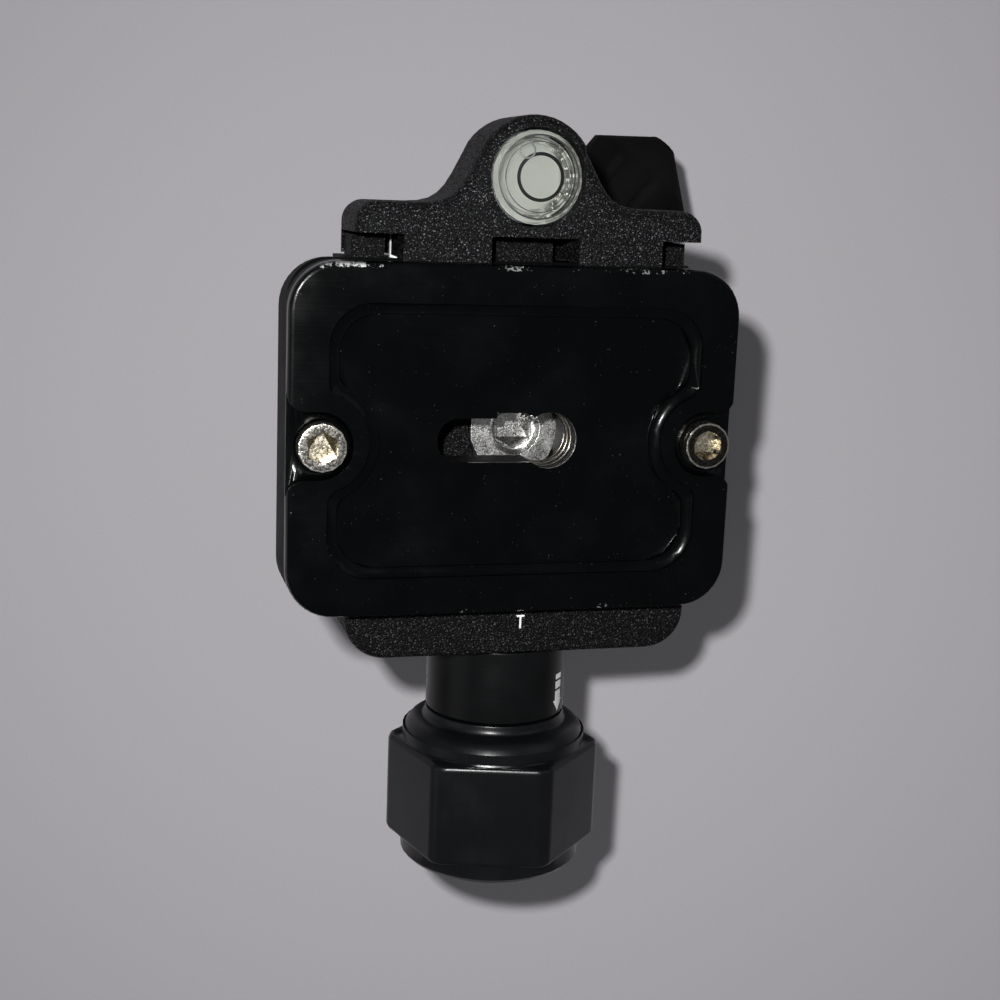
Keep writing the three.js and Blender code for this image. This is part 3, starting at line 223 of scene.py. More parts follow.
@dataclass(frozen=True)
class Finish:
    """A plain finish, and the base of all others.

    Args:
        name: the material's name.
        colour: its linear colour.
        roughness: how dull it is.
        metallic: 1 for bare metal.
        place: the local frame that its pattern follows.
        shine: how strongly its surface mirrors, 0.5 for most materials.
    """

    name: str
    colour: Colour
    roughness: float
    metallic: float = 0.0
    place: Place = UPRIGHT
    shine: float = 0.5

    def paint(self, graph: Graph) -> dict[str, object]:
        """The shader's inputs; overridden by each pattern."""
        patch = graph.noise(0.35, 3.0).step(0.35, 0.7)
        return {
            "Base Color": graph.blend(patch, self.shade(0.88), self.shade(1.1)),
            "Roughness": patch * 0.06 + self.roughness,
        }

    def shade(self, amount: float) -> Colour:
        """The colour made lighter or darker."""
        return tuple(min(1.0, channel * amount) for channel in self.colour)

    def constants(self) -> dict[str, object]:
        """Shader inputs that are the same all over, unless a pattern sets them."""
        return {"Specular IOR Level": self.shine, "Metallic": self.metallic}

    def material(self) -> bpy.types.Material:
        """The finished material, made once."""
        made = bpy.data.materials.get(self.name)
        if made:
            return made
        made = bpy.data.materials.new(self.name)
        made.use_nodes = True
        made.diffuse_color = (*self.colour, 1.0)
        tree = made.node_tree
        feed(tree, tree.nodes["Principled BSDF"], {**self.constants(), **self.paint(Graph(tree))})
        return made


@dataclass(frozen=True)
class PowderCoat(Finish):
    """Fine-grained black powder coat, with painted glints on a few grains and painted shade in the hollows
    between grains.

    Args:
        grain: how many grains there are to the millimetre.
        painted_glint: how bright the painted glints are on the few grains that carry them.
        facing: the noise at which a grain's painted glint begins and is full.
    """

    grain: float = 4.0
    painted_glint: float = 0.06
    facing: Pair = (0.62, 0.72)

    def paint(self, graph: Graph) -> dict[str, object]:
        """Small uneven facets in the bump, painted glints on a few of them, and dull hollows between them
        darkened with painted shade.
        """
        facets = graph.noise(self.grain, 3.0)
        hollow = graph.cells(self.grain * 0.8).step(0.2, 0.8)
        # Painted glints: a noise mask picks a few grains to lighten to a pale grey.
        bright = graph.noise(self.grain * 1.5, 1.0).step(*self.facing)
        # Painted shade: the coat darkens from each grain's middle towards the hollows round it.
        coat = graph.blend(hollow, self.shade(1.2), self.shade(0.6))
        return {
            "Base Color": graph.blend(bright, coat, (self.painted_glint, self.painted_glint, self.painted_glint * 1.05)),
            "Roughness": hollow * 0.25 + self.roughness,
            "Normal": graph.bump(facets - hollow * 0.25, 0.2),
        }


@dataclass(frozen=True)
class Anodised(Finish):
    """Dyed aluminium with the faint lines of the tool that cut it.

    Args:
        lines: how the tool's lines stretch along the local axes, in cells to the millimetre.
        dust: how much its fine dust shows.
        grey: the colour of the dust.
    """

    lines: Point = (0.12, 6.0, 6.0)
    dust: float = 0.0
    grey: Colour = (0.09, 0.09, 0.095)

    def paint(self, graph: Graph) -> dict[str, object]:
        """Tool lines in the bump, handling marks in the roughness."""
        lines = graph.noise(1.0, 2.0, graph.stretched(self.place, self.lines))
        smear = graph.noise(0.16, 3.0).step(0.35, 0.75)
        colour = graph.blend(smear, self.shade(0.8), self.shade(1.3))
        if self.dust:
            specks = graph.noise(4.2, 2.0).step(0.72, 0.78)
            lying = graph.noise(0.3, 3.0).step(0.4, 0.6)
            colour = graph.blend(specks * lying * self.dust, colour, self.grey)
        return {
            "Base Color": colour,
            "Roughness": lines * 0.08 + smear * 0.09 + (self.roughness - 0.06),
            "Normal": graph.bump(lines, 0.012, 0.5),
        }


@dataclass(frozen=True)
class Turned(Finish):
    """Metal turned on a lathe: fine rings about the local Z axis.

    Args:
        pitch: the distance between two rings, in millimetres.
    """

    pitch: float = 0.09

    def paint(self, graph: Graph) -> dict[str, object]:
        """Rings in the bump and in the roughness."""
        radius, _, _, z = graph.polar(self.place)
        rings = ((radius + z) * (math.tau / self.pitch)).sine()
        patch = graph.noise(0.5, 3.0).step(0.3, 0.7)
        return {
            "Base Color": graph.blend(patch, self.shade(0.85), self.shade(1.08)),
            "Roughness": rings * 0.03 + patch * 0.1 + self.roughness,
            "Normal": graph.bump(rings, 0.004, 0.35),
        }


@dataclass(frozen=True)
class Blasted(Finish):
    """Bright steel with a fine blasted grain, with painted light on the grain's tops and painted shade in its
    hollows.

    Args:
        grain: how many grains there are to the millimetre.
        hollow: how dark the painted shade in the hollows between the grains is.
    """

    grain: float = 7.0
    hollow: float = 0.45

    def paint(self, graph: Graph) -> dict[str, object]:
        """Grain in the bump and the roughness, and painted light and shade of the grain in the colour."""
        grain = graph.noise(self.grain, 2.0)
        patch = graph.noise(0.9, 3.0).step(0.3, 0.7)
        return {
            # Painted light and shade: the colour follows the grain's height, darker in its hollows.
            "Base Color": graph.blend(grain.step(0.38, 0.62), self.shade(self.hollow), self.shade(1.15)),
            "Roughness": grain * 0.3 + patch * 0.08 + (self.roughness - 0.1),
            "Normal": graph.bump(grain, 0.05, 0.7),
        }


@dataclass(frozen=True)
class SocketHead(Finish):
    """A used steel screw head: a scratched face, with a painted highlight on its rim and painted light in its
    warm socket.

    Args:
        face: how bright the face is beside the rim; set lighter on one screw and darker on the other as
            painted light and shade.
        socket: the radius where the socket begins, in millimetres.
        rim: the radius where the rim's painted highlight begins.
        warm: the socket's duller and brighter colour, painted light in warm tones.
    """

    face: float = 0.5
    socket: float = 1.62
    rim: float = 2.36
    warm: tuple[Colour, Colour] = ((0.5, 0.44, 0.32), (0.85, 0.78, 0.62))

    def paint(self, graph: Graph) -> dict[str, object]:
        """Face, rim and socket by their radius, all scratched, with the rim's highlight and the socket's
        light painted.
        """
        radius = graph.polar(self.place)[0]
        scratches = graph.noise(3.4, 4.0).step(0.35, 0.68)
        face = graph.blend(scratches, self.shade(self.face * 0.55), self.shade(self.face))
        # Painted highlight: the rim is lighter than the face.
        edge = graph.blend(radius.step(self.rim - 0.05, self.rim + 0.04), face, self.shade(1.25))
        # Painted light: the socket is filled with a warm bright colour.
        warm = graph.blend(scratches, *self.warm)
        return {
            "Base Color": graph.blend(radius.step(self.socket - 0.1, self.socket + 0.04), warm, edge),
            "Roughness": scratches * 0.12 + self.roughness,
            "Normal": graph.bump(scratches, 0.02, 0.6),
        }


@dataclass(frozen=True)
class WornPlate(Anodised):
    """Glossy black anodising, rubbed bright on the plate's upper edges and corners.

    Args:
        half_length: half the plate's length.
        half_width: half its width.
        corner: the radius of its corners.
        top: the height of its top.
        bare: the colour of the bare metal.
        rubbed: the rubbed stretches: middle, half length, side of the plate and strength.
        pocket: below this height the walls are dull.
        corners: where the corners' wear begins and is full, along and across added up.
        through: the wear at which bare metal begins and fully shows.
    """

    half_length: float = 24.8
    half_width: float = 18.85
    corner: float = 5.2
    top: float = 41.0
    bare: Colour = (0.45, 0.46, 0.45)
    rubbed: tuple[tuple[float, float, float, float], ...] = (
        (-19.4, 3.0, 1.0, 0.2), (7.5, 11.6, 1.0, 0.1), (5.0, 11.5, -1.0, 0.1))
    pocket: float = 39.3
    corners: Pair = (38.5, 42.5)
    through: Pair = (0.76, 0.84)

    def paint(self, graph: Graph) -> dict[str, object]:
        """The anodised finish, with bare metal along the edges where the photo shows it."""
        made = super().paint(graph)
        x, y, z = graph.local(self.place)
        across = abs(x) - (self.half_length - self.corner)
        along = abs(y) - (self.half_width - self.corner)
        wide = across.most(0.0)
        deep = along.most(0.0)
        edge = (wide * wide + deep * deep).root() + across.most(along).least(0.0) - self.corner
        ragged = edge + graph.noise(2.5, 3.0) * 0.4
        rim = ragged.step(-0.46, -0.36) * z.step(self.top - 0.5, self.top - 0.36)
        patch = graph.noise(0.2, 4.0) * 0.6
        corners = (abs(x) + abs(y)).step(*self.corners) * 0.1
        chips = graph.noise(3.0, 4.0) * 0.55
        wear = patch + corners + chips
        for middle, half, side, strength in self.rubbed:
            stretch = 1 - abs(x - middle).step(half - 1.2, half)
            wear = stretch * (y * side).step(self.half_width - 2.4, self.half_width - 1.8) * strength + wear
        worn = rim * wear.step(*self.through)
        nicks = graph.noise(1.3, 4.0).step(0.75, 0.78) * z.step(self.top - 0.2, self.top - 0.05) * 0.4
        bare = worn.most(nicks * edge.step(-1.2, -0.4))
        made["Base Color"] = graph.blend(bare, made["Base Color"], self.bare)
        made["Metallic"] = bare * (1 - self.metallic) + self.metallic
        inside = 1 - z.step(self.pocket - 0.3, self.pocket)
        made["Roughness"] = made["Roughness"] + bare * 0.12 + inside * 0.4
        return made


@dataclass(frozen=True)
class Clear(Finish):
    """Clear moulded acrylic."""

    def paint(self, graph: Graph) -> dict[str, object]:
        """Faint moulding rings near the rim."""
        radius = graph.polar(self.place)[0]
        rings = (radius * 9.0).sine() * radius.step(2.9, 3.4)
        return {
            "Base Color": (*self.colour, 1.0),
            "Roughness": radius.step(4.4, 4.9) * 0.15 + self.roughness,
            "Normal": graph.bump(rings, 0.03, 0.4),
        }

    def constants(self) -> dict[str, object]:
        """Light passes through it."""
        return {**super().constants(), "Transmission Weight": 1.0, "IOR": 1.49}


@dataclass(frozen=True)
class LevelFace(Finish):
    """The pale face under the vial, with painted shadow rings where the vial's wall throws them, a painted
    shaded rim and painted glints.

    Args:
        rings: each painted shadow ring's radius, half width and strength.
        rim: where the shaded rim starts.
        shaded: the direction of the rim's darker side.
        shadow: the colour of the shaded rim.
        glint: the colour of the glints in it.
    """

    rings: tuple[Point, ...] = ((3.55, 0.2, 0.5), (4.1, 0.22, 0.85), (4.6, 0.12, 0.6))
    rim: float = 3.5
    shaded: float = math.radians(-12.0)
    shadow: Colour = (0.035, 0.04, 0.03)
    glint: Colour = (0.95, 0.94, 0.88)

    def paint(self, graph: Graph) -> dict[str, object]:
        """Painted shadow as thin dark rings, and a painted shaded rim, broken, with painted glints on its
        shaded side.
        """
        radius, x, y, _ = graph.polar(self.place)
        lines = 0.0
        # Painted shadow: thin dark rings thrown by the vial's wall.
        for middle, half, strength in self.rings:
            lines = (1 - abs(radius - middle).step(half * 0.4, half)) * strength + lines
        side = ((x * math.cos(self.shaded) + y * math.sin(self.shaded)) / radius).step(0.05, 0.75)
        edge = radius.step(self.rim - 0.5, self.rim + 0.2)
        broken = graph.noise(1.1, 3.0).step(0.36, 0.62)
        glint = graph.noise(2.6, 1.0).step(0.6, 0.64)
        shade = side * edge * (broken * 0.75 + 0.2)
        face = graph.blend(shade, self.colour, self.shadow)
        ringed = graph.blend(lines.least(1.0), face, self.shade(0.12))
        return {
            "Base Color": graph.blend(side * edge * glint, ringed, self.glint),
            "Roughness": edge * 0.1 + self.roughness,
            "Normal": graph.bump(radius.step(self.rim - 0.1, self.rim + 0.1), 0.1, 0.5),
        }


class Metal(Enum):
    """The bare metals of the small parts."""

    STEEL = (0.56, 0.55, 0.52)
    BRIGHT = (0.78, 0.77, 0.75)
    WARM = (0.44, 0.42, 0.38)
    BRASS = (0.62, 0.42, 0.15)


@dataclass(frozen=True)
class Finishes:
    """Every finish of the head, by the part that wears it."""

    plate: Finish = WornPlate("plate_gloss", (0.0006, 0.0008, 0.0009), 0.2, 0.0, HEAD.moved(x=PLATE_SHIFT),
                              0.12, dust=0.7)
    # Both powder coats carry painted glints and painted shade in their grain.
    clamp: Finish = PowderCoat("clamp_powder", (0.0022, 0.0023, 0.0025), 0.42, 0.0, HEAD, 0.07, painted_glint=0.07)
    jaw: Finish = PowderCoat("jaw_powder", (0.0024, 0.0025, 0.0028), 0.38, 0.0, HEAD, 0.08, painted_glint=0.12)
    knob: Finish = Anodised("knob_satin", (0.0026, 0.003, 0.0034), 0.3, 0.0, KNOB, 0.25,
                            lines=(5.0, 5.0, 0.3))
    sleeve: Finish = Anodised("sleeve_satin", (0.0018, 0.002, 0.0022), 0.3, 0.0, KNOB, 0.2,
                              lines=(0.2, 0.2, 7.0))
    body: Finish = Anodised("body_satin", (0.006, 0.006, 0.0066), 0.34, 0.0, UPRIGHT, 0.4,
                            lines=(0.15, 0.15, 6.0))
    lock: Finish = Anodised("lock_satin", (0.003, 0.003, 0.0032), 0.8, 0.0, BALL_LOCK_AXIS, 0.05,
                            lines=(0.2, 0.2, 6.0))
    pan_lock: Finish = Anodised("pan_lock_satin", (0.005, 0.005, 0.0054), 0.5, 0.0, PAN_LOCK_AXIS, 0.35,
                                lines=(0.2, 0.2, 6.0))
    ball: Finish = Turned("ball_dark", (0.028, 0.029, 0.032), 0.22, 0.6, HEAD, pitch=0.25)
    steel: Finish = Turned("steel_small", Metal.STEEL.value, 0.16, 1.0, HEAD, pitch=0.12)
    bright: Finish = Blasted("steel_bright", Metal.BRIGHT.value, 0.22, 1.0, HEAD)
    # The two stop screws differ only in painted light and shade: one face lighter, the other darker.
    stop_left: Finish = SocketHead("stop_left", Metal.WARM.value, 0.24, 1.0, HEAD.moved(-23.3, -0.5),
                                   face=0.75)
    stop_right: Finish = SocketHead("stop_right", Metal.WARM.value, 0.2, 1.0, HEAD.moved(19.7, -0.5),
                                    face=0.12)
    thread: Finish = Finish("thread_crest", (0.24, 0.22, 0.19), 0.25, 0.9)
    knob_steel: Finish = Turned("steel_knob", Metal.STEEL.value, 0.26, 1.0, KNOB, pitch=0.12)
    lock_steel: Finish = Turned("steel_lock", Metal.STEEL.value, 0.28, 1.0, BALL_LOCK_AXIS, pitch=0.12)
    base_steel: Finish = Turned("steel_base", Metal.STEEL.value, 0.3, 1.0, UPRIGHT, pitch=0.14)
    # Painted highlight: the guide rods are near-white, not metal, to stand for the glint on their steel.
    rod: Finish = Finish("rod_painted_glint", (0.9, 0.9, 0.88), 0.22)
    brass: Finish = Turned("brass_turned", Metal.BRASS.value, 0.3, 1.0, BALL_LOCK_AXIS, pitch=0.12)
    nylon: Finish = Finish("nylon", (0.68, 0.66, 0.58), 0.5)
    slick: Finish = Finish("slick_ring", (0.78, 0.77, 0.72), 0.55)
    vial: Finish = Clear("vial_clear", (0.97, 0.98, 0.96), 0.03, 0.0, HEAD.moved(y=LEVEL_Y))
    face: Finish = LevelFace("level_face", (0.6, 0.615, 0.57), 0.5, 0.0, HEAD.moved(y=LEVEL_Y))
    band: Finish = Finish("level_black", (0.004, 0.004, 0.004), 0.4, shine=0.2)
    ink: Finish = Finish("white_ink", (0.6, 0.6, 0.6), 0.6)
    # Painted shade: the bubble's ring and the grooves' rings are dark.
    bubble: Finish = Finish("bubble_rim", (0.13, 0.14, 0.13), 0.3)
    groove_shade: Finish = Finish("level_groove", (0.022, 0.024, 0.02), 0.4)


FINISH = Finishes()


class Maker:
    """Turns meshes into finished pieces of the scene."""

    @staticmethod
    def placed(name: str, data: bpy.types.ID) -> bpy.types.Object:
        """A new object of the scene that holds a mesh, a lamp or a camera."""
        made = bpy.data.objects.new(name, data)
        bpy.context.scene.collection.objects.link(made)
        return made

    @staticmethod
    def applied(carrier: bpy.types.Object) -> bpy.types.Mesh:
        """The mesh that an object's modifiers make; the object goes."""
        graph = bpy.context.evaluated_depsgraph_get()
        mesh = bpy.data.meshes.new_from_object(carrier.evaluated_get(graph))
        carrier.modifiers.clear()
        bpy.data.objects.remove(carrier)
        return mesh

    @staticmethod
    def piece(name: str, mesh: bpy.types.Mesh, finish: Finish, body: str) -> bpy.types.Object:
        """Puts a finished mesh on a body.

        Args:
            name: the piece's name.
            mesh: its mesh, in metres, in the part's frame.
            finish: its finish.
            body: the body that it rides on.

        Returns:
            The piece.
        """
        mesh.materials.clear()
        mesh.materials.append(finish.material())
        made = Maker.placed(name, mesh)
        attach(made, body)
        LOG.info("%s: %d faces on %s", name, len(mesh.polygons), body)
        return made

    @staticmethod
    def plate(name: str, outlines: Iterable[Sequence[Pair]], thickness: float,
              place: Callable[[float, float, float], Vector]) -> bpy.types.Mesh:
        """Thin flat shapes laid on a surface.

        Args:
            name: the mesh's name.
            outlines: each shape's corners, in millimetres.
            thickness: how thick they are, in millimetres.
            place: maps flat x, y and height to a point of the part.

        Returns:
            One mesh of them all.
        """
        built = bmesh.new()
        for corners in outlines:
            low = [built.verts.new(place(x, y, 0.0)) for x, y in corners]
            high = [built.verts.new(place(x, y, thickness)) for x, y in corners]
            built.faces.new(list(reversed(low)))
            built.faces.new(high)
            for i in range(len(corners)):
                k = (i + 1) % len(corners)
                built.faces.new((low[i], low[k], high[k], high[i]))
        return Maker.closed(built, bpy.data.meshes.new(name))

    @staticmethod
    def closed(built: bmesh.types.BMesh, mesh: bpy.types.Mesh) -> bpy.types.Mesh:
        """Turns the faces of a finished shape outwards and writes it to the mesh."""
        bmesh.ops.recalc_face_normals(built, faces=built.faces)
        built.to_mesh(mesh)
        built.free()
        return mesh


class Grown:
    """Meshes grown by Geometry Nodes: coils, threads and rings of marks."""

    def __init__(self, name: str) -> None:
        """Starts a tree of that name with an input and an output."""
        self.name = name
        self.tree = bpy.data.node_groups.new(name, "GeometryNodeTree")
        self.tree.interface.new_socket(name="Geometry", in_out="OUTPUT", socket_type="NodeSocketGeometry")
        self.source = self.tree.nodes.new("NodeGroupInput")
        self.values: dict[str, object] = {}

    def size(self, name: str, value: object, kind: str = "NodeSocketFloat") -> bpy.types.NodeSocket:
        """Adds a named input of that type, set to the value, and hands back its socket in the tree."""
        item = self.tree.interface.new_socket(name=name, in_out="INPUT", socket_type=kind)
        self.values[item.identifier] = value
        return self.source.outputs[name]

    def node(self, kind: str, settings: dict | None = None, inputs: dict | None = None) -> bpy.types.Node:
        """Adds a node with its settings, values and links."""
        return add_node(self.tree, kind, settings, inputs)

    def grow(self, geometry: bpy.types.NodeSocket, finish: Finish, place: Place) -> bpy.types.Mesh:
        """Ends the tree, runs it once and hands back a plain mesh in the part's frame."""
        solid = self.node("GeometryNodeRealizeInstances", inputs={0: geometry})
        dressed = self.node("GeometryNodeSetMaterial", inputs={
            0: solid.outputs[0], "Material": finish.material()})
        end = self.tree.nodes.new("NodeGroupOutput")
        self.tree.links.new(dressed.outputs[0], end.inputs[0])
        seed = Maker.placed(f"{self.name}_seed", bpy.data.meshes.new(f"{self.name}_seed"))
        modifier = seed.modifiers.new("Grow", "NODES")
        modifier.node_group = self.tree
        for identifier, value in self.values.items():
            modifier[identifier] = value
        mesh = Maker.applied(seed)
        mesh.name = self.name
        mesh.transform(place.matrix)
        return mesh


@dataclass(frozen=True)
class Coil:
    """A helix of round wire: a spring, or a thread's crest.

    Args:
        name: the mesh's name.
        radius: the helix's radius, in millimetres.
        wire: the wire's radius.
        length: its length along the axis.
        pitch: the rise of a turn.
        finish: its finish.
        turn_points: how many points a turn has.
        wire_points: how many sides the wire has.
    """

    name: str
    radius: float
    wire: float
    length: float
    pitch: float
    finish: Finish
    turn_points: int = 28
    wire_points: int = 7

    def mesh(self, place: Place) -> bpy.types.Mesh:
        """The coil, standing on the place's XY plane."""
        tree = Grown(self.name)
        radius = tree.size("Radius", self.radius * MM)
        spiral = tree.node("GeometryNodeCurveSpiral", inputs={
            "Resolution": self.turn_points,
            "Rotations": tree.size("Turns", self.length / self.pitch),
            "Start Radius": radius, "End Radius": radius,
            "Height": tree.size("Length", self.length * MM)})
        ring = tree.node("GeometryNodeCurvePrimitiveCircle", inputs={
            "Resolution": self.wire_points, "Radius": tree.size("Wire", self.wire * MM)})
        swept = tree.node("GeometryNodeCurveToMesh", inputs={
            "Curve": spiral.outputs[0], "Profile Curve": ring.outputs[0], "Fill Caps": True})
        return tree.grow(swept.outputs[0], self.finish, place)


@dataclass
class MarkRing:
    """Short marks set round a circle, such as a pan scale.

    Args:
        name: the mesh's name.
        radius: the circle's radius, in millimetres.
        count: how many marks.
        size: a mark's depth, width and height.
        finish: its finish.
    """

    name: str
    radius: float
    count: int
    size: Point
    finish: Finish

    def mesh(self, place: Place) -> bpy.types.Mesh:
        """The marks, round the place's Z axis."""
        tree = Grown(self.name)
        circle = tree.node("GeometryNodeMeshCircle", inputs={
            "Vertices": tree.size("Count", self.count, "NodeSocketInt"),
            "Radius": tree.size("Radius", self.radius * MM)})
        mark = tree.node("GeometryNodeMeshCube", inputs={
            "Size": tree.size("Mark", [side * MM for side in self.size], "NodeSocketVector")})
        position = tree.node("GeometryNodeInputPosition")
        facing = tree.node("FunctionNodeAlignRotationToVector", {"axis": "X", "pivot_axis": "Z"},
                           {"Vector": position.outputs[0]})
        placed = tree.node("GeometryNodeInstanceOnPoints", inputs={
            "Points": circle.outputs[0], "Instance": mark.outputs[0], "Rotation": facing.outputs[0]})
        return tree.grow(placed.outputs[0], self.finish, place)


def dress(nodes: Iterable[str], finish: Finish) -> None:
    """Gives the CAD nodes of those names a finish."""
    for name in nodes:
        node = FRAME["nodes"][name]
        node.data.materials.clear()
        node.data.materials.append(finish.material())
        LOG.info("%s: %s", name, finish.name)


@dataclass
class Skins:
    """Smooth copies of CAD nodes that stand in for their loose triangles.

    Args:
        finish: the finish that they wear.
        sharp: faces that meet at more than this angle keep a crisp edge.
        broken: how wide their crisp edges are broken, in millimetres.
        weld: corners nearer than this become one, in millimetres.
        flat: faces that meet at less than this angle become one before edges are broken.
    """

    finish: Finish
    sharp: float = math.radians(32.0)
    broken: float = 0.0
    weld: float = 0.002
    flat: float = math.radians(0.4)

    def over(self, *nodes: str) -> None:
        """Makes the smooth copy of each node and lets it stand for the node."""
        record = FRAME["record"]
        bodies = {name: body for body, names in record["behaviour"]["bodies"].items() for name in names}
        for name in nodes:
            mesh = self.smooth(FRAME["nodes"][name].data.copy())
            made = Maker.piece(f"{name}_skin", mesh, self.finish, bodies[name])
            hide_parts(name)

    def smooth(self, mesh: bpy.types.Mesh) -> bpy.types.Mesh:
        """Merges a mesh, breaks its crisp edges and shades it smooth between them."""
        built = bmesh.new()
        built.from_mesh(mesh)
        bmesh.ops.remove_doubles(built, verts=built.verts, dist=self.weld * MM)
        bmesh.ops.dissolve_degenerate(built, edges=built.edges, dist=self.weld * MM)
        if self.broken:
            self.soften(built)
        built.to_mesh(mesh)
        built.free()
        mesh.shade_smooth()
        mesh.set_sharp_from_angle(angle=self.sharp)
        return self.flattened(mesh)

    @staticmethod
    def flattened(mesh: bpy.types.Mesh) -> bpy.types.Mesh:
        """Gives large faces the say over the shading, so that flats stay flat beside rounded edges."""
        carrier = Maker.placed("carrier", mesh)
        weigh = carrier.modifiers.new("Weigh", "WEIGHTED_NORMAL")
        weigh.keep_sharp = True
        weigh.weight = 100
        return Maker.applied(carrier)

    def soften(self, built: bmesh.types.BMesh) -> None:
        """Breaks the crisp outer edges of a merged mesh."""
        bmesh.ops.dissolve_limit(built, angle_limit=self.flat, verts=built.verts, edges=built.edges)
        crisp = [edge for edge in built.edges
                 if edge.is_manifold and edge.calc_face_angle_signed() > self.sharp]
        bmesh.ops.bevel(built, geom=crisp, offset=self.broken * MM, segments=2, profile=0.6,
                        affect="EDGES", clamp_overlap=True, harden_normals=False)
        bmesh.ops.triangulate(built, faces=[face for face in built.faces if len(face.verts) > 4])


@dataclass
class CameraPlate:
    """The quick-release plate with its threaded entry, and its stop screws.

    Args:
        bottom: the height where the entry's thread begins, in millimetres.
        entry_x: where the entry is along the plate.
        slot_half: half the width of the slot that runs into the entry.
        crest: the crest of the thread.
    """

    bottom: float = 34.9
    entry_x: float = 3.9
    slot_half: float = 2.4
    crest: Coil = Coil("entry_thread", radius=3.1, wire=0.13, length=3.6, pitch=1.27, finish=FINISH.thread,
                       turn_points=40, wire_points=4)

    def build(self) -> None:
        """Covers the plate and its screws and cuts the entry's thread."""
        Skins(FINISH.plate, broken=0.14).over("quick_release_plate")
        Skins(FINISH.stop_left, broken=0.12).over("stop_screw_left")
        Skins(FINISH.stop_right, broken=0.12).over("stop_screw_right")
        self.thread()

    def thread(self) -> None:
        """The thread of the round entry, open where the slot runs into it."""
        mesh = self.crest.mesh(HEAD.moved(PLATE_SHIFT + self.entry_x, 0.0, self.bottom))
        self.open_slot(mesh)
        made = Maker.piece(self.crest.name, mesh, FINISH.thread, "plate")

    def open_slot(self, mesh: bpy.types.Mesh) -> None:
        """Takes away the thread where the slot passes through it."""
        back = HEAD.moved(PLATE_SHIFT + self.entry_x).matrix.inverted()
        built = bmesh.new()
        built.from_mesh(mesh)
        centres = [(face, back @ face.calc_center_median() / MM) for face in built.faces]
        passed = [face for face, at in centres if at.x < 0 and abs(at.y) < self.slot_half]
        bmesh.ops.delete(built, geom=passed, context="FACES")
        bmesh.ops.holes_fill(built, edges=[edge for edge in built.edges if edge.is_boundary], sides=8)
        Maker.closed(built, mesh)


@dataclass
class Clamp:
    """The clamp body, far jaw, draw link and their fixings.

    Args:
        jaw_top: the height of the near jaw's top, in millimetres over the ball.
        springs_at: how far each spring is to the side, where it begins along the screw, and its height.
        coil: a spring.
        mark_y: where the index mark's foot is along the screw.
        mark_stem: half the width of the mark's line, and where it ends and begins.
        mark_foot: half the foot's width at its line and at its end.
    """

    jaw_top: float = 37.0
    springs_at: Point = (9.0, 12.5, 28.6)
    coil: Coil = Coil("jaw_coil", radius=1.3, wire=0.28, length=6.2, pitch=0.9, finish=FINISH.steel)
    mark_y: float = -20.3
    mark_stem: Point = (0.11, -1.55, -0.22)
    mark_foot: Pair = (0.42, 0.48)

    def build(self) -> None:
        """Covers what shows, dresses what is inside, and adds springs and marks."""
        Skins(FINISH.clamp, broken=0.12).over("clamp_body")
        Skins(FINISH.jaw, broken=0.12).over("far_jaw")
        Skins(FINISH.bright, broken=0.1).over("clamp_centre_screw")
        Skins(FINISH.steel).over("draw_link", "link_screw_left", "link_screw_right", "screw_retaining_ring")
        # The guide rods wear a painted highlight.
        Skins(FINISH.rod).over("guide_rod_left", "guide_rod_right")
        dress(["clamp_pin_left", "clamp_pin_right"], FINISH.steel)
        for side, word in ((-1, "left"), (1, "right")):
            self.spring(side, word)
        self.index_mark()

    def spring(self, side: int, word: str) -> None:
        """A coiled spring in place of the plain tube."""
        coil = replace(self.coil, name=f"jaw_coil_{word}")
        x, y, z = self.springs_at
        mesh = coil.mesh(HEAD.moved(side * x, y, z).turned(-math.pi / 2, "X"))
        mesh.shade_smooth()
        made = Maker.piece(coil.name, mesh, FINISH.steel, "head")
        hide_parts(f"jaw_spring_{word}")

    def index_mark(self) -> None:
        """The small white mark on the near jaw that shows its middle."""
        def lay(x: float, y: float, z: float) -> Vector:
            return HEAD.matrix @ (Vector((x, y + self.mark_y, self.jaw_top + z)) * MM)

        half, end, start = self.mark_stem
        narrow, wide = self.mark_foot
        line = [(-half, end), (half, end), (half, start), (-half, start)]
        foot = [(-narrow, start), (narrow, start), (wide, 0.0), (-wide, 0.0)]
        mesh = Maker.plate("index_mark", [line, foot], INK, lay)
        made = Maker.piece("index_mark", mesh, FINISH.ink, "head")


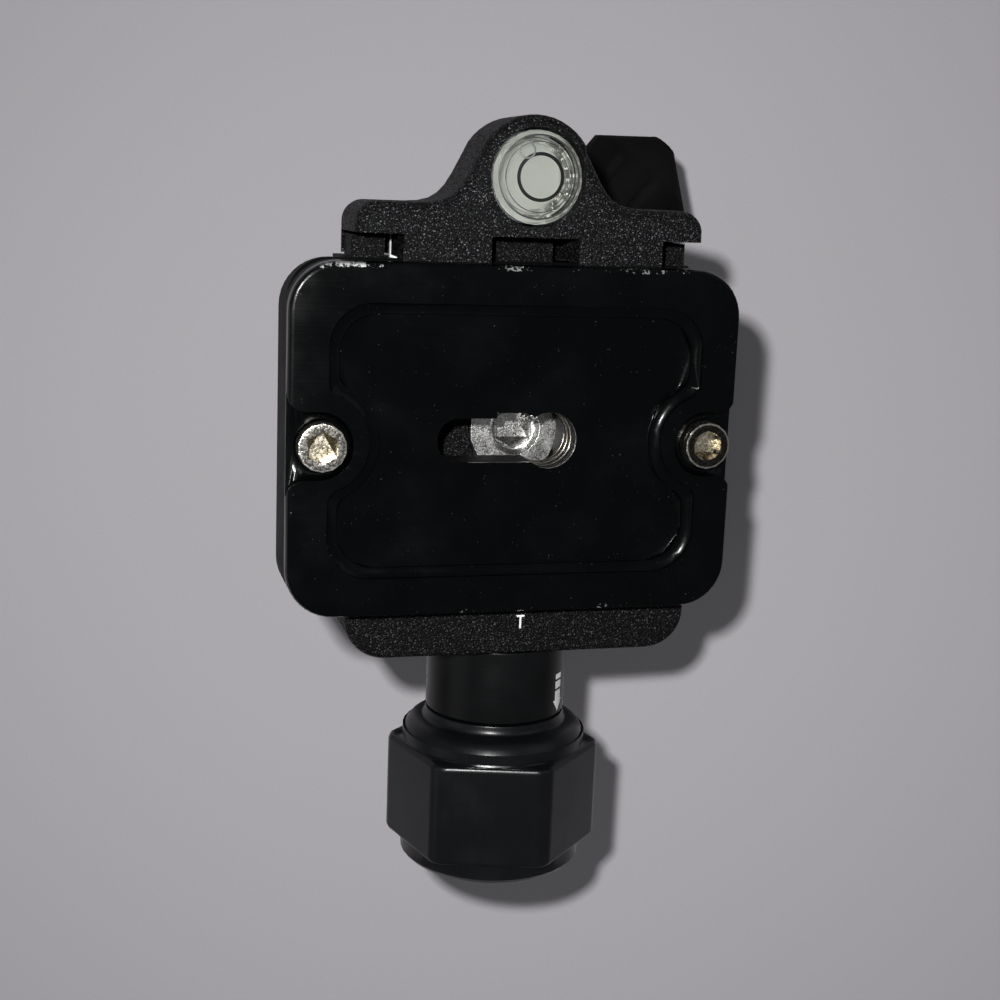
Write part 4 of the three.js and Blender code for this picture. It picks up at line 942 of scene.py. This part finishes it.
@dataclass
class Level:
    """The round level: its vial, the pale face under it, the ring to set it by, the bubble drawn as a dark
    ring of painted shade, and dark rings of painted shade for the vial's grooves.

    Args:
        crown: the height of the vial's top, in millimetres over the ball.
        fall: two distances from the vial's middle, each with how much lower the vial is there.
        ring: the ring's radius; half its width and its middle are ring_half and ring_at.
        bubble: the radius of the bubble's dark ring, painted shade of the bubble's edge.
        grooves: each groove's radius and half width, drawn as a dark ring of painted shade.
        steps: how many corners a ring has.
    """

    crown: float = 37.35
    fall: tuple[Pair, Pair] = ((2.5, 0.0875), (4.5, 0.35))
    ring: float = 2.43
    ring_half: float = 0.19
    ring_at: Pair = (0.1, 0.0)
    bubble: float = 0.82
    bubble_half: float = 0.09
    bubble_at: Pair = (-1.45, 2.75)
    grooves: tuple[Pair, ...] = ((4.42, 0.09), (3.72, 0.05))
    steps: int = 48

    def build(self) -> None:
        """Covers the vial and its face, and adds the ring, the bubble as a dark ring of painted shade, and
        the grooves' dark rings of painted shade.
        """
        Skins(FINISH.vial, broken=0.1).over("level_vial")
        Skins(FINISH.face).over("level_disc")
        self.hoop("level_ring", self.ring, self.ring_half, 0.02, self.ring_at, FINISH.band)
        # Painted shade: the bubble is only a dark ring where its edge looks dark.
        self.hoop("level_bubble", self.bubble, self.bubble_half, 0.05, self.bubble_at, FINISH.bubble)
        # Painted shade: dark rings on the crown where the vial's grooves look dark.
        for number, (radius, half) in enumerate(self.grooves, 1):
            self.hoop(f"level_groove_{number}", radius, half, 0.01, (0.0, 0.0), FINISH.groove_shade)

    def hoop(self, name: str, radius: float, half: float, thickness: float, at: Pair, finish: Finish) -> None:
        """A flat ring that lies on the vial's crown.

        Args:
            name: its name.
            radius: its middle radius.
            half: half its width.
            thickness: how far it stands up.
            at: its middle, across and along the jaw.
            finish: its finish.
        """
        built = bmesh.new()
        inner, outer = radius - half, radius + half
        rings = []
        for reach, lift in ((inner, 0.0), (outer, 0.0), (outer, thickness), (inner, thickness)):
            ring = []
            for i in range(self.steps):
                angle = math.tau * i / self.steps
                x, y = at[0] + reach * math.cos(angle), at[1] + reach * math.sin(angle)
                height = self.surface(math.hypot(x, y)) + lift
                ring.append(built.verts.new(HEAD.matrix @ (Vector((x, y + LEVEL_Y, height)) * MM)))
            rings.append(ring)
        for k, ring in enumerate(rings):
            after = rings[(k + 1) % len(rings)]
            for i in range(self.steps):
                j = (i + 1) % self.steps
                built.faces.new((ring[i], ring[j], after[j], after[i]))
        mesh = Maker.closed(built, bpy.data.meshes.new(name))
        made = Maker.piece(name, mesh, finish, "jaw")

    def surface(self, radius: float) -> float:
        """The height of the vial's crown at a distance from its middle, in millimetres."""
        (inner, dip), (outer, drop) = self.fall
        if radius <= inner:
            return self.crown - dip * radius / inner
        return self.crown - dip - (drop - dip) * (radius - inner) / (outer - inner)


@dataclass
class Drive:
    """The clamp screw, its sleeve and its knob.

    Args:
        sleeve_radius: the sleeve's radius, in millimetres.
        mark_from: where the turning mark begins along the screw.
        mark_angle: where it is round the sleeve.
        mark_half: half the width of its bars, and mark_wing of its arrow.
        mark_bars: where each bar begins and ends along the mark.
        mark_tip: where the arrow's tip ends, and how far its wings stay behind.
        mark_slices: how many strips bend the arrow round the sleeve.
    """

    sleeve_radius: float = 8.25
    mark_from: float = 28.75
    mark_angle: float = math.radians(-48.5)
    mark_half: float = 0.62
    mark_wing: float = 1.05
    mark_bars: tuple[Pair, ...] = ((0.0, 0.6), (0.9, 1.75), (2.03, 3.2))
    mark_tip: Pair = (4.55, 1.35)
    mark_slices: int = 6

    def build(self) -> None:
        """Covers the nodes and adds the turning mark."""
        Skins(FINISH.knob, broken=0.15).over("clamp_knob")
        Skins(FINISH.sleeve, broken=0.2).over("clamp_sleeve")
        Skins(FINISH.knob_steel, broken=0.1).over("clamp_knob_screw")
        Skins(FINISH.steel).over("clamp_screw")
        self.turning_mark()

    def turning_mark(self) -> None:
        """Two bars and an arrow towards the knob, printed on the sleeve."""
        def lay(x: float, y: float, z: float) -> Vector:
            angle = math.pi / 2 + self.mark_angle + x / self.sleeve_radius
            radius = self.sleeve_radius + z
            across, up = math.cos(angle) * radius, math.sin(angle) * radius
            return KNOB.matrix @ (Vector((across, up, self.mark_from + y)) * MM)

        half, wing = self.mark_half, self.mark_wing
        bars = [[(-half, low), (half, low), (half, high), (-half, high)] for low, high in self.mark_bars]
        foot = self.mark_bars[-1][1]
        tip, back = self.mark_tip
        steps = [wing * (2 * i / self.mark_slices - 1) for i in range(self.mark_slices + 1)]
        ends = [(step, tip - back * abs(step) / wing) for step in steps]
        tips = [[(low[0], foot), (high[0], foot), high, low] for low, high in zip(ends, ends[1:])]
        tips[0].pop()
        tips[-1].pop(2)
        mesh = Maker.plate("turning_mark", [*bars, *tips], INK, lay)
        made = Maker.piece("turning_mark", mesh, FINISH.ink, "head")


@dataclass
class Body:
    """The body round the ball, with both locks."""

    def build(self) -> None:
        """Covers the body, ball, stem and locks."""
        Skins(FINISH.body, broken=0.15).over("body_housing", "ball_collar", "stem")
        Skins(FINISH.ball).over("ball")
        Skins(FINISH.nylon).over("lower_ball_seat", "ball_lock_pad")
        Skins(FINISH.base_steel).over("seat_spring")
        Skins(FINISH.lock).over("ball_lock_knob")
        Skins(FINISH.pan_lock).over("pan_lock_knob")
        Skins(FINISH.lock_steel).over("ball_lock_screw", "ball_lock_cap", "pan_lock_screw")
        Skins(FINISH.brass).over("ball_lock_bush", "pan_lock_shoe")


@dataclass
class Base:
    """The base, the pan bearing and the tripod socket.

    Args:
        radius: the radius of the pan scale, in millimetres.
        marks: how many marks it has.
        mark: a mark's depth, width and height.
        mark_height: how high the marks' middle is.
        crest_from: where the crest of the socket's thread begins over the ground.
    """

    radius: float = 20.5
    marks: int = 36
    mark: Point = (0.04, 0.22, 1.0)
    mark_height: float = 5.15
    crest_from: float = 0.3
    crest: Coil = Coil("socket_thread", radius=4.76, wire=0.34, length=3.8, pitch=1.5875,
                       finish=FINISH.base_steel, turn_points=40, wire_points=4)

    def build(self) -> None:
        """Covers the base and adds its thread and pan scale."""
        Skins(FINISH.body, broken=0.15).over("base_plate")
        Skins(FINISH.base_steel).over("thread_insert", "pan_spindle", "pan_washer", "base_screw_1",
                                      "base_screw_2", "base_screw_3")
        dress(["pan_nut"], FINISH.brass)
        dress(["pan_friction_ring"], FINISH.slick)
        mesh = self.crest.mesh(UPRIGHT.moved(z=self.crest_from))
        made = Maker.piece(self.crest.name, mesh, FINISH.base_steel, "base")
        scale = MarkRing("pan_scale", self.radius, self.marks, self.mark, FINISH.ink)
        made = Maker.piece(scale.name, scale.mesh(UPRIGHT.moved(z=self.mark_height)), FINISH.ink, "base")


@dataclass(frozen=True)
class Lamp:
    """A soft square lamp: its place in millimetres, its width, its power and where it looks, in metres."""

    name: str
    place: Point
    size: float
    power: float
    target: Point = (0.0, 0.0, 0.05)

    def build(self) -> None:
        """Hangs the lamp."""
        data = bpy.data.lights.new(self.name, "AREA")
        data.size = self.size
        data.energy = self.power
        lamp = Maker.placed(self.name, data)
        place = Vector(self.place) * MM
        turn = (Vector(self.target) - place).to_track_quat("-Z", "Y")
        lamp.matrix_world = Matrix.Translation(place) @ turn.to_matrix().to_4x4()


@dataclass
class Studio:
    """The floor, the lights and the camera.

    Args:
        floor_size: the floor's width, in metres.
        camera_at: where the camera is, in millimetres.
        camera_roll: how far it is turned about its view.
        lens: its focal length, in millimetres.
        sensor: its sensor's width, in millimetres.
        air: the colour of the light from all around, and world its strength.
    """

    floor_colour: Colour = (0.37, 0.355, 0.375)
    floor_size: float = 12.0
    camera_at: Point = (0.6, -2.62, 241.6)
    camera_roll: float = math.radians(0.7)
    lens: float = 55.84
    sensor: float = 36.0
    air: Colour = (0.95, 0.96, 1.0)
    world: float = 0.175
    lamps: tuple[Lamp, ...] = (
        Lamp("key", (-14.0, 13.0, 256.0), 0.006, 0.62),
        Lamp("left", (-520.0, -120.0, 300.0), 0.35, 0.15),
        Lamp("right", (480.0, 260.0, 330.0), 0.35, 0.12),
    )

    def build(self) -> None:
        """Makes the floor, the lamps, the world and the camera."""
        self.floor()
        for lamp in self.lamps:
            lamp.build()
        self.surround()
        self.camera()

    def floor(self) -> None:
        """A plain pale floor with a very fine tooth."""
        mesh = bpy.data.meshes.new("floor")
        half = self.floor_size / 2
        corners = [(-half, -half, 0), (half, -half, 0), (half, half, 0), (-half, half, 0)]
        mesh.from_pydata(corners, [], [(0, 1, 2, 3)])
        floor = Maker.placed("floor", mesh)
        mesh.materials.append(FloorFinish("floor_pale", self.floor_colour, 0.85).material())

    def surround(self) -> None:
        """An even pale surround."""
        world = bpy.data.worlds.new("surround")
        world.use_nodes = True
        back = world.node_tree.nodes["Background"]
        back.inputs["Color"].default_value = (*self.air, 1.0)
        back.inputs["Strength"].default_value = self.world
        bpy.context.scene.world = world

    def camera(self) -> None:
        """The camera, straight above the part and a little rolled, as the photograph was taken."""
        data = bpy.data.cameras.new("camera")
        data.sensor_width = self.sensor
        data.lens = self.lens
        data.clip_start = 0.01
        camera = Maker.placed("camera", data)
        camera.location = Vector(self.camera_at) * MM
        camera.rotation_euler = (0.0, 0.0, self.camera_roll)
        bpy.context.scene.camera = camera
        bpy.context.scene.view_settings.view_transform = "Standard"


@dataclass(frozen=True)
class FloorFinish(Finish):
    """A pale floor with a fine even tooth."""

    def paint(self, graph: Graph) -> dict[str, object]:
        """A very fine tooth in colour and bump."""
        tooth = graph.noise(2.5, 2.0)
        return {
            "Base Color": graph.blend(tooth.step(0.3, 0.7), self.shade(0.985), self.shade(1.015)),
            "Roughness": self.roughness,
            "Normal": graph.bump(tooth, 0.05, 0.2),
        }


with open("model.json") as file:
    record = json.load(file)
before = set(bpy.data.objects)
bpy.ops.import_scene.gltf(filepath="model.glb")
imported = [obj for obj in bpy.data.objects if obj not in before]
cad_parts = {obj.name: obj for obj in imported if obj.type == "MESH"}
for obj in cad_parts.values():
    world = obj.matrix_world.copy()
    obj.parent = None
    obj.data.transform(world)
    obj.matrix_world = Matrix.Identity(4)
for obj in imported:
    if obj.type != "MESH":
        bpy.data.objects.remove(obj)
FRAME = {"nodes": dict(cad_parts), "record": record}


def main() -> None:
    """Builds every sub-assembly in order."""
    logging.basicConfig(level=logging.INFO, format="%(name)s: %(message)s")
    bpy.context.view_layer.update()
    for part in (Base(), Body(), Clamp(), Level(), Drive(), CameraPlate(), Studio()):
        LOG.info("building %s", type(part).__name__)
        part.build()


if __name__ == "__main__":
    main()
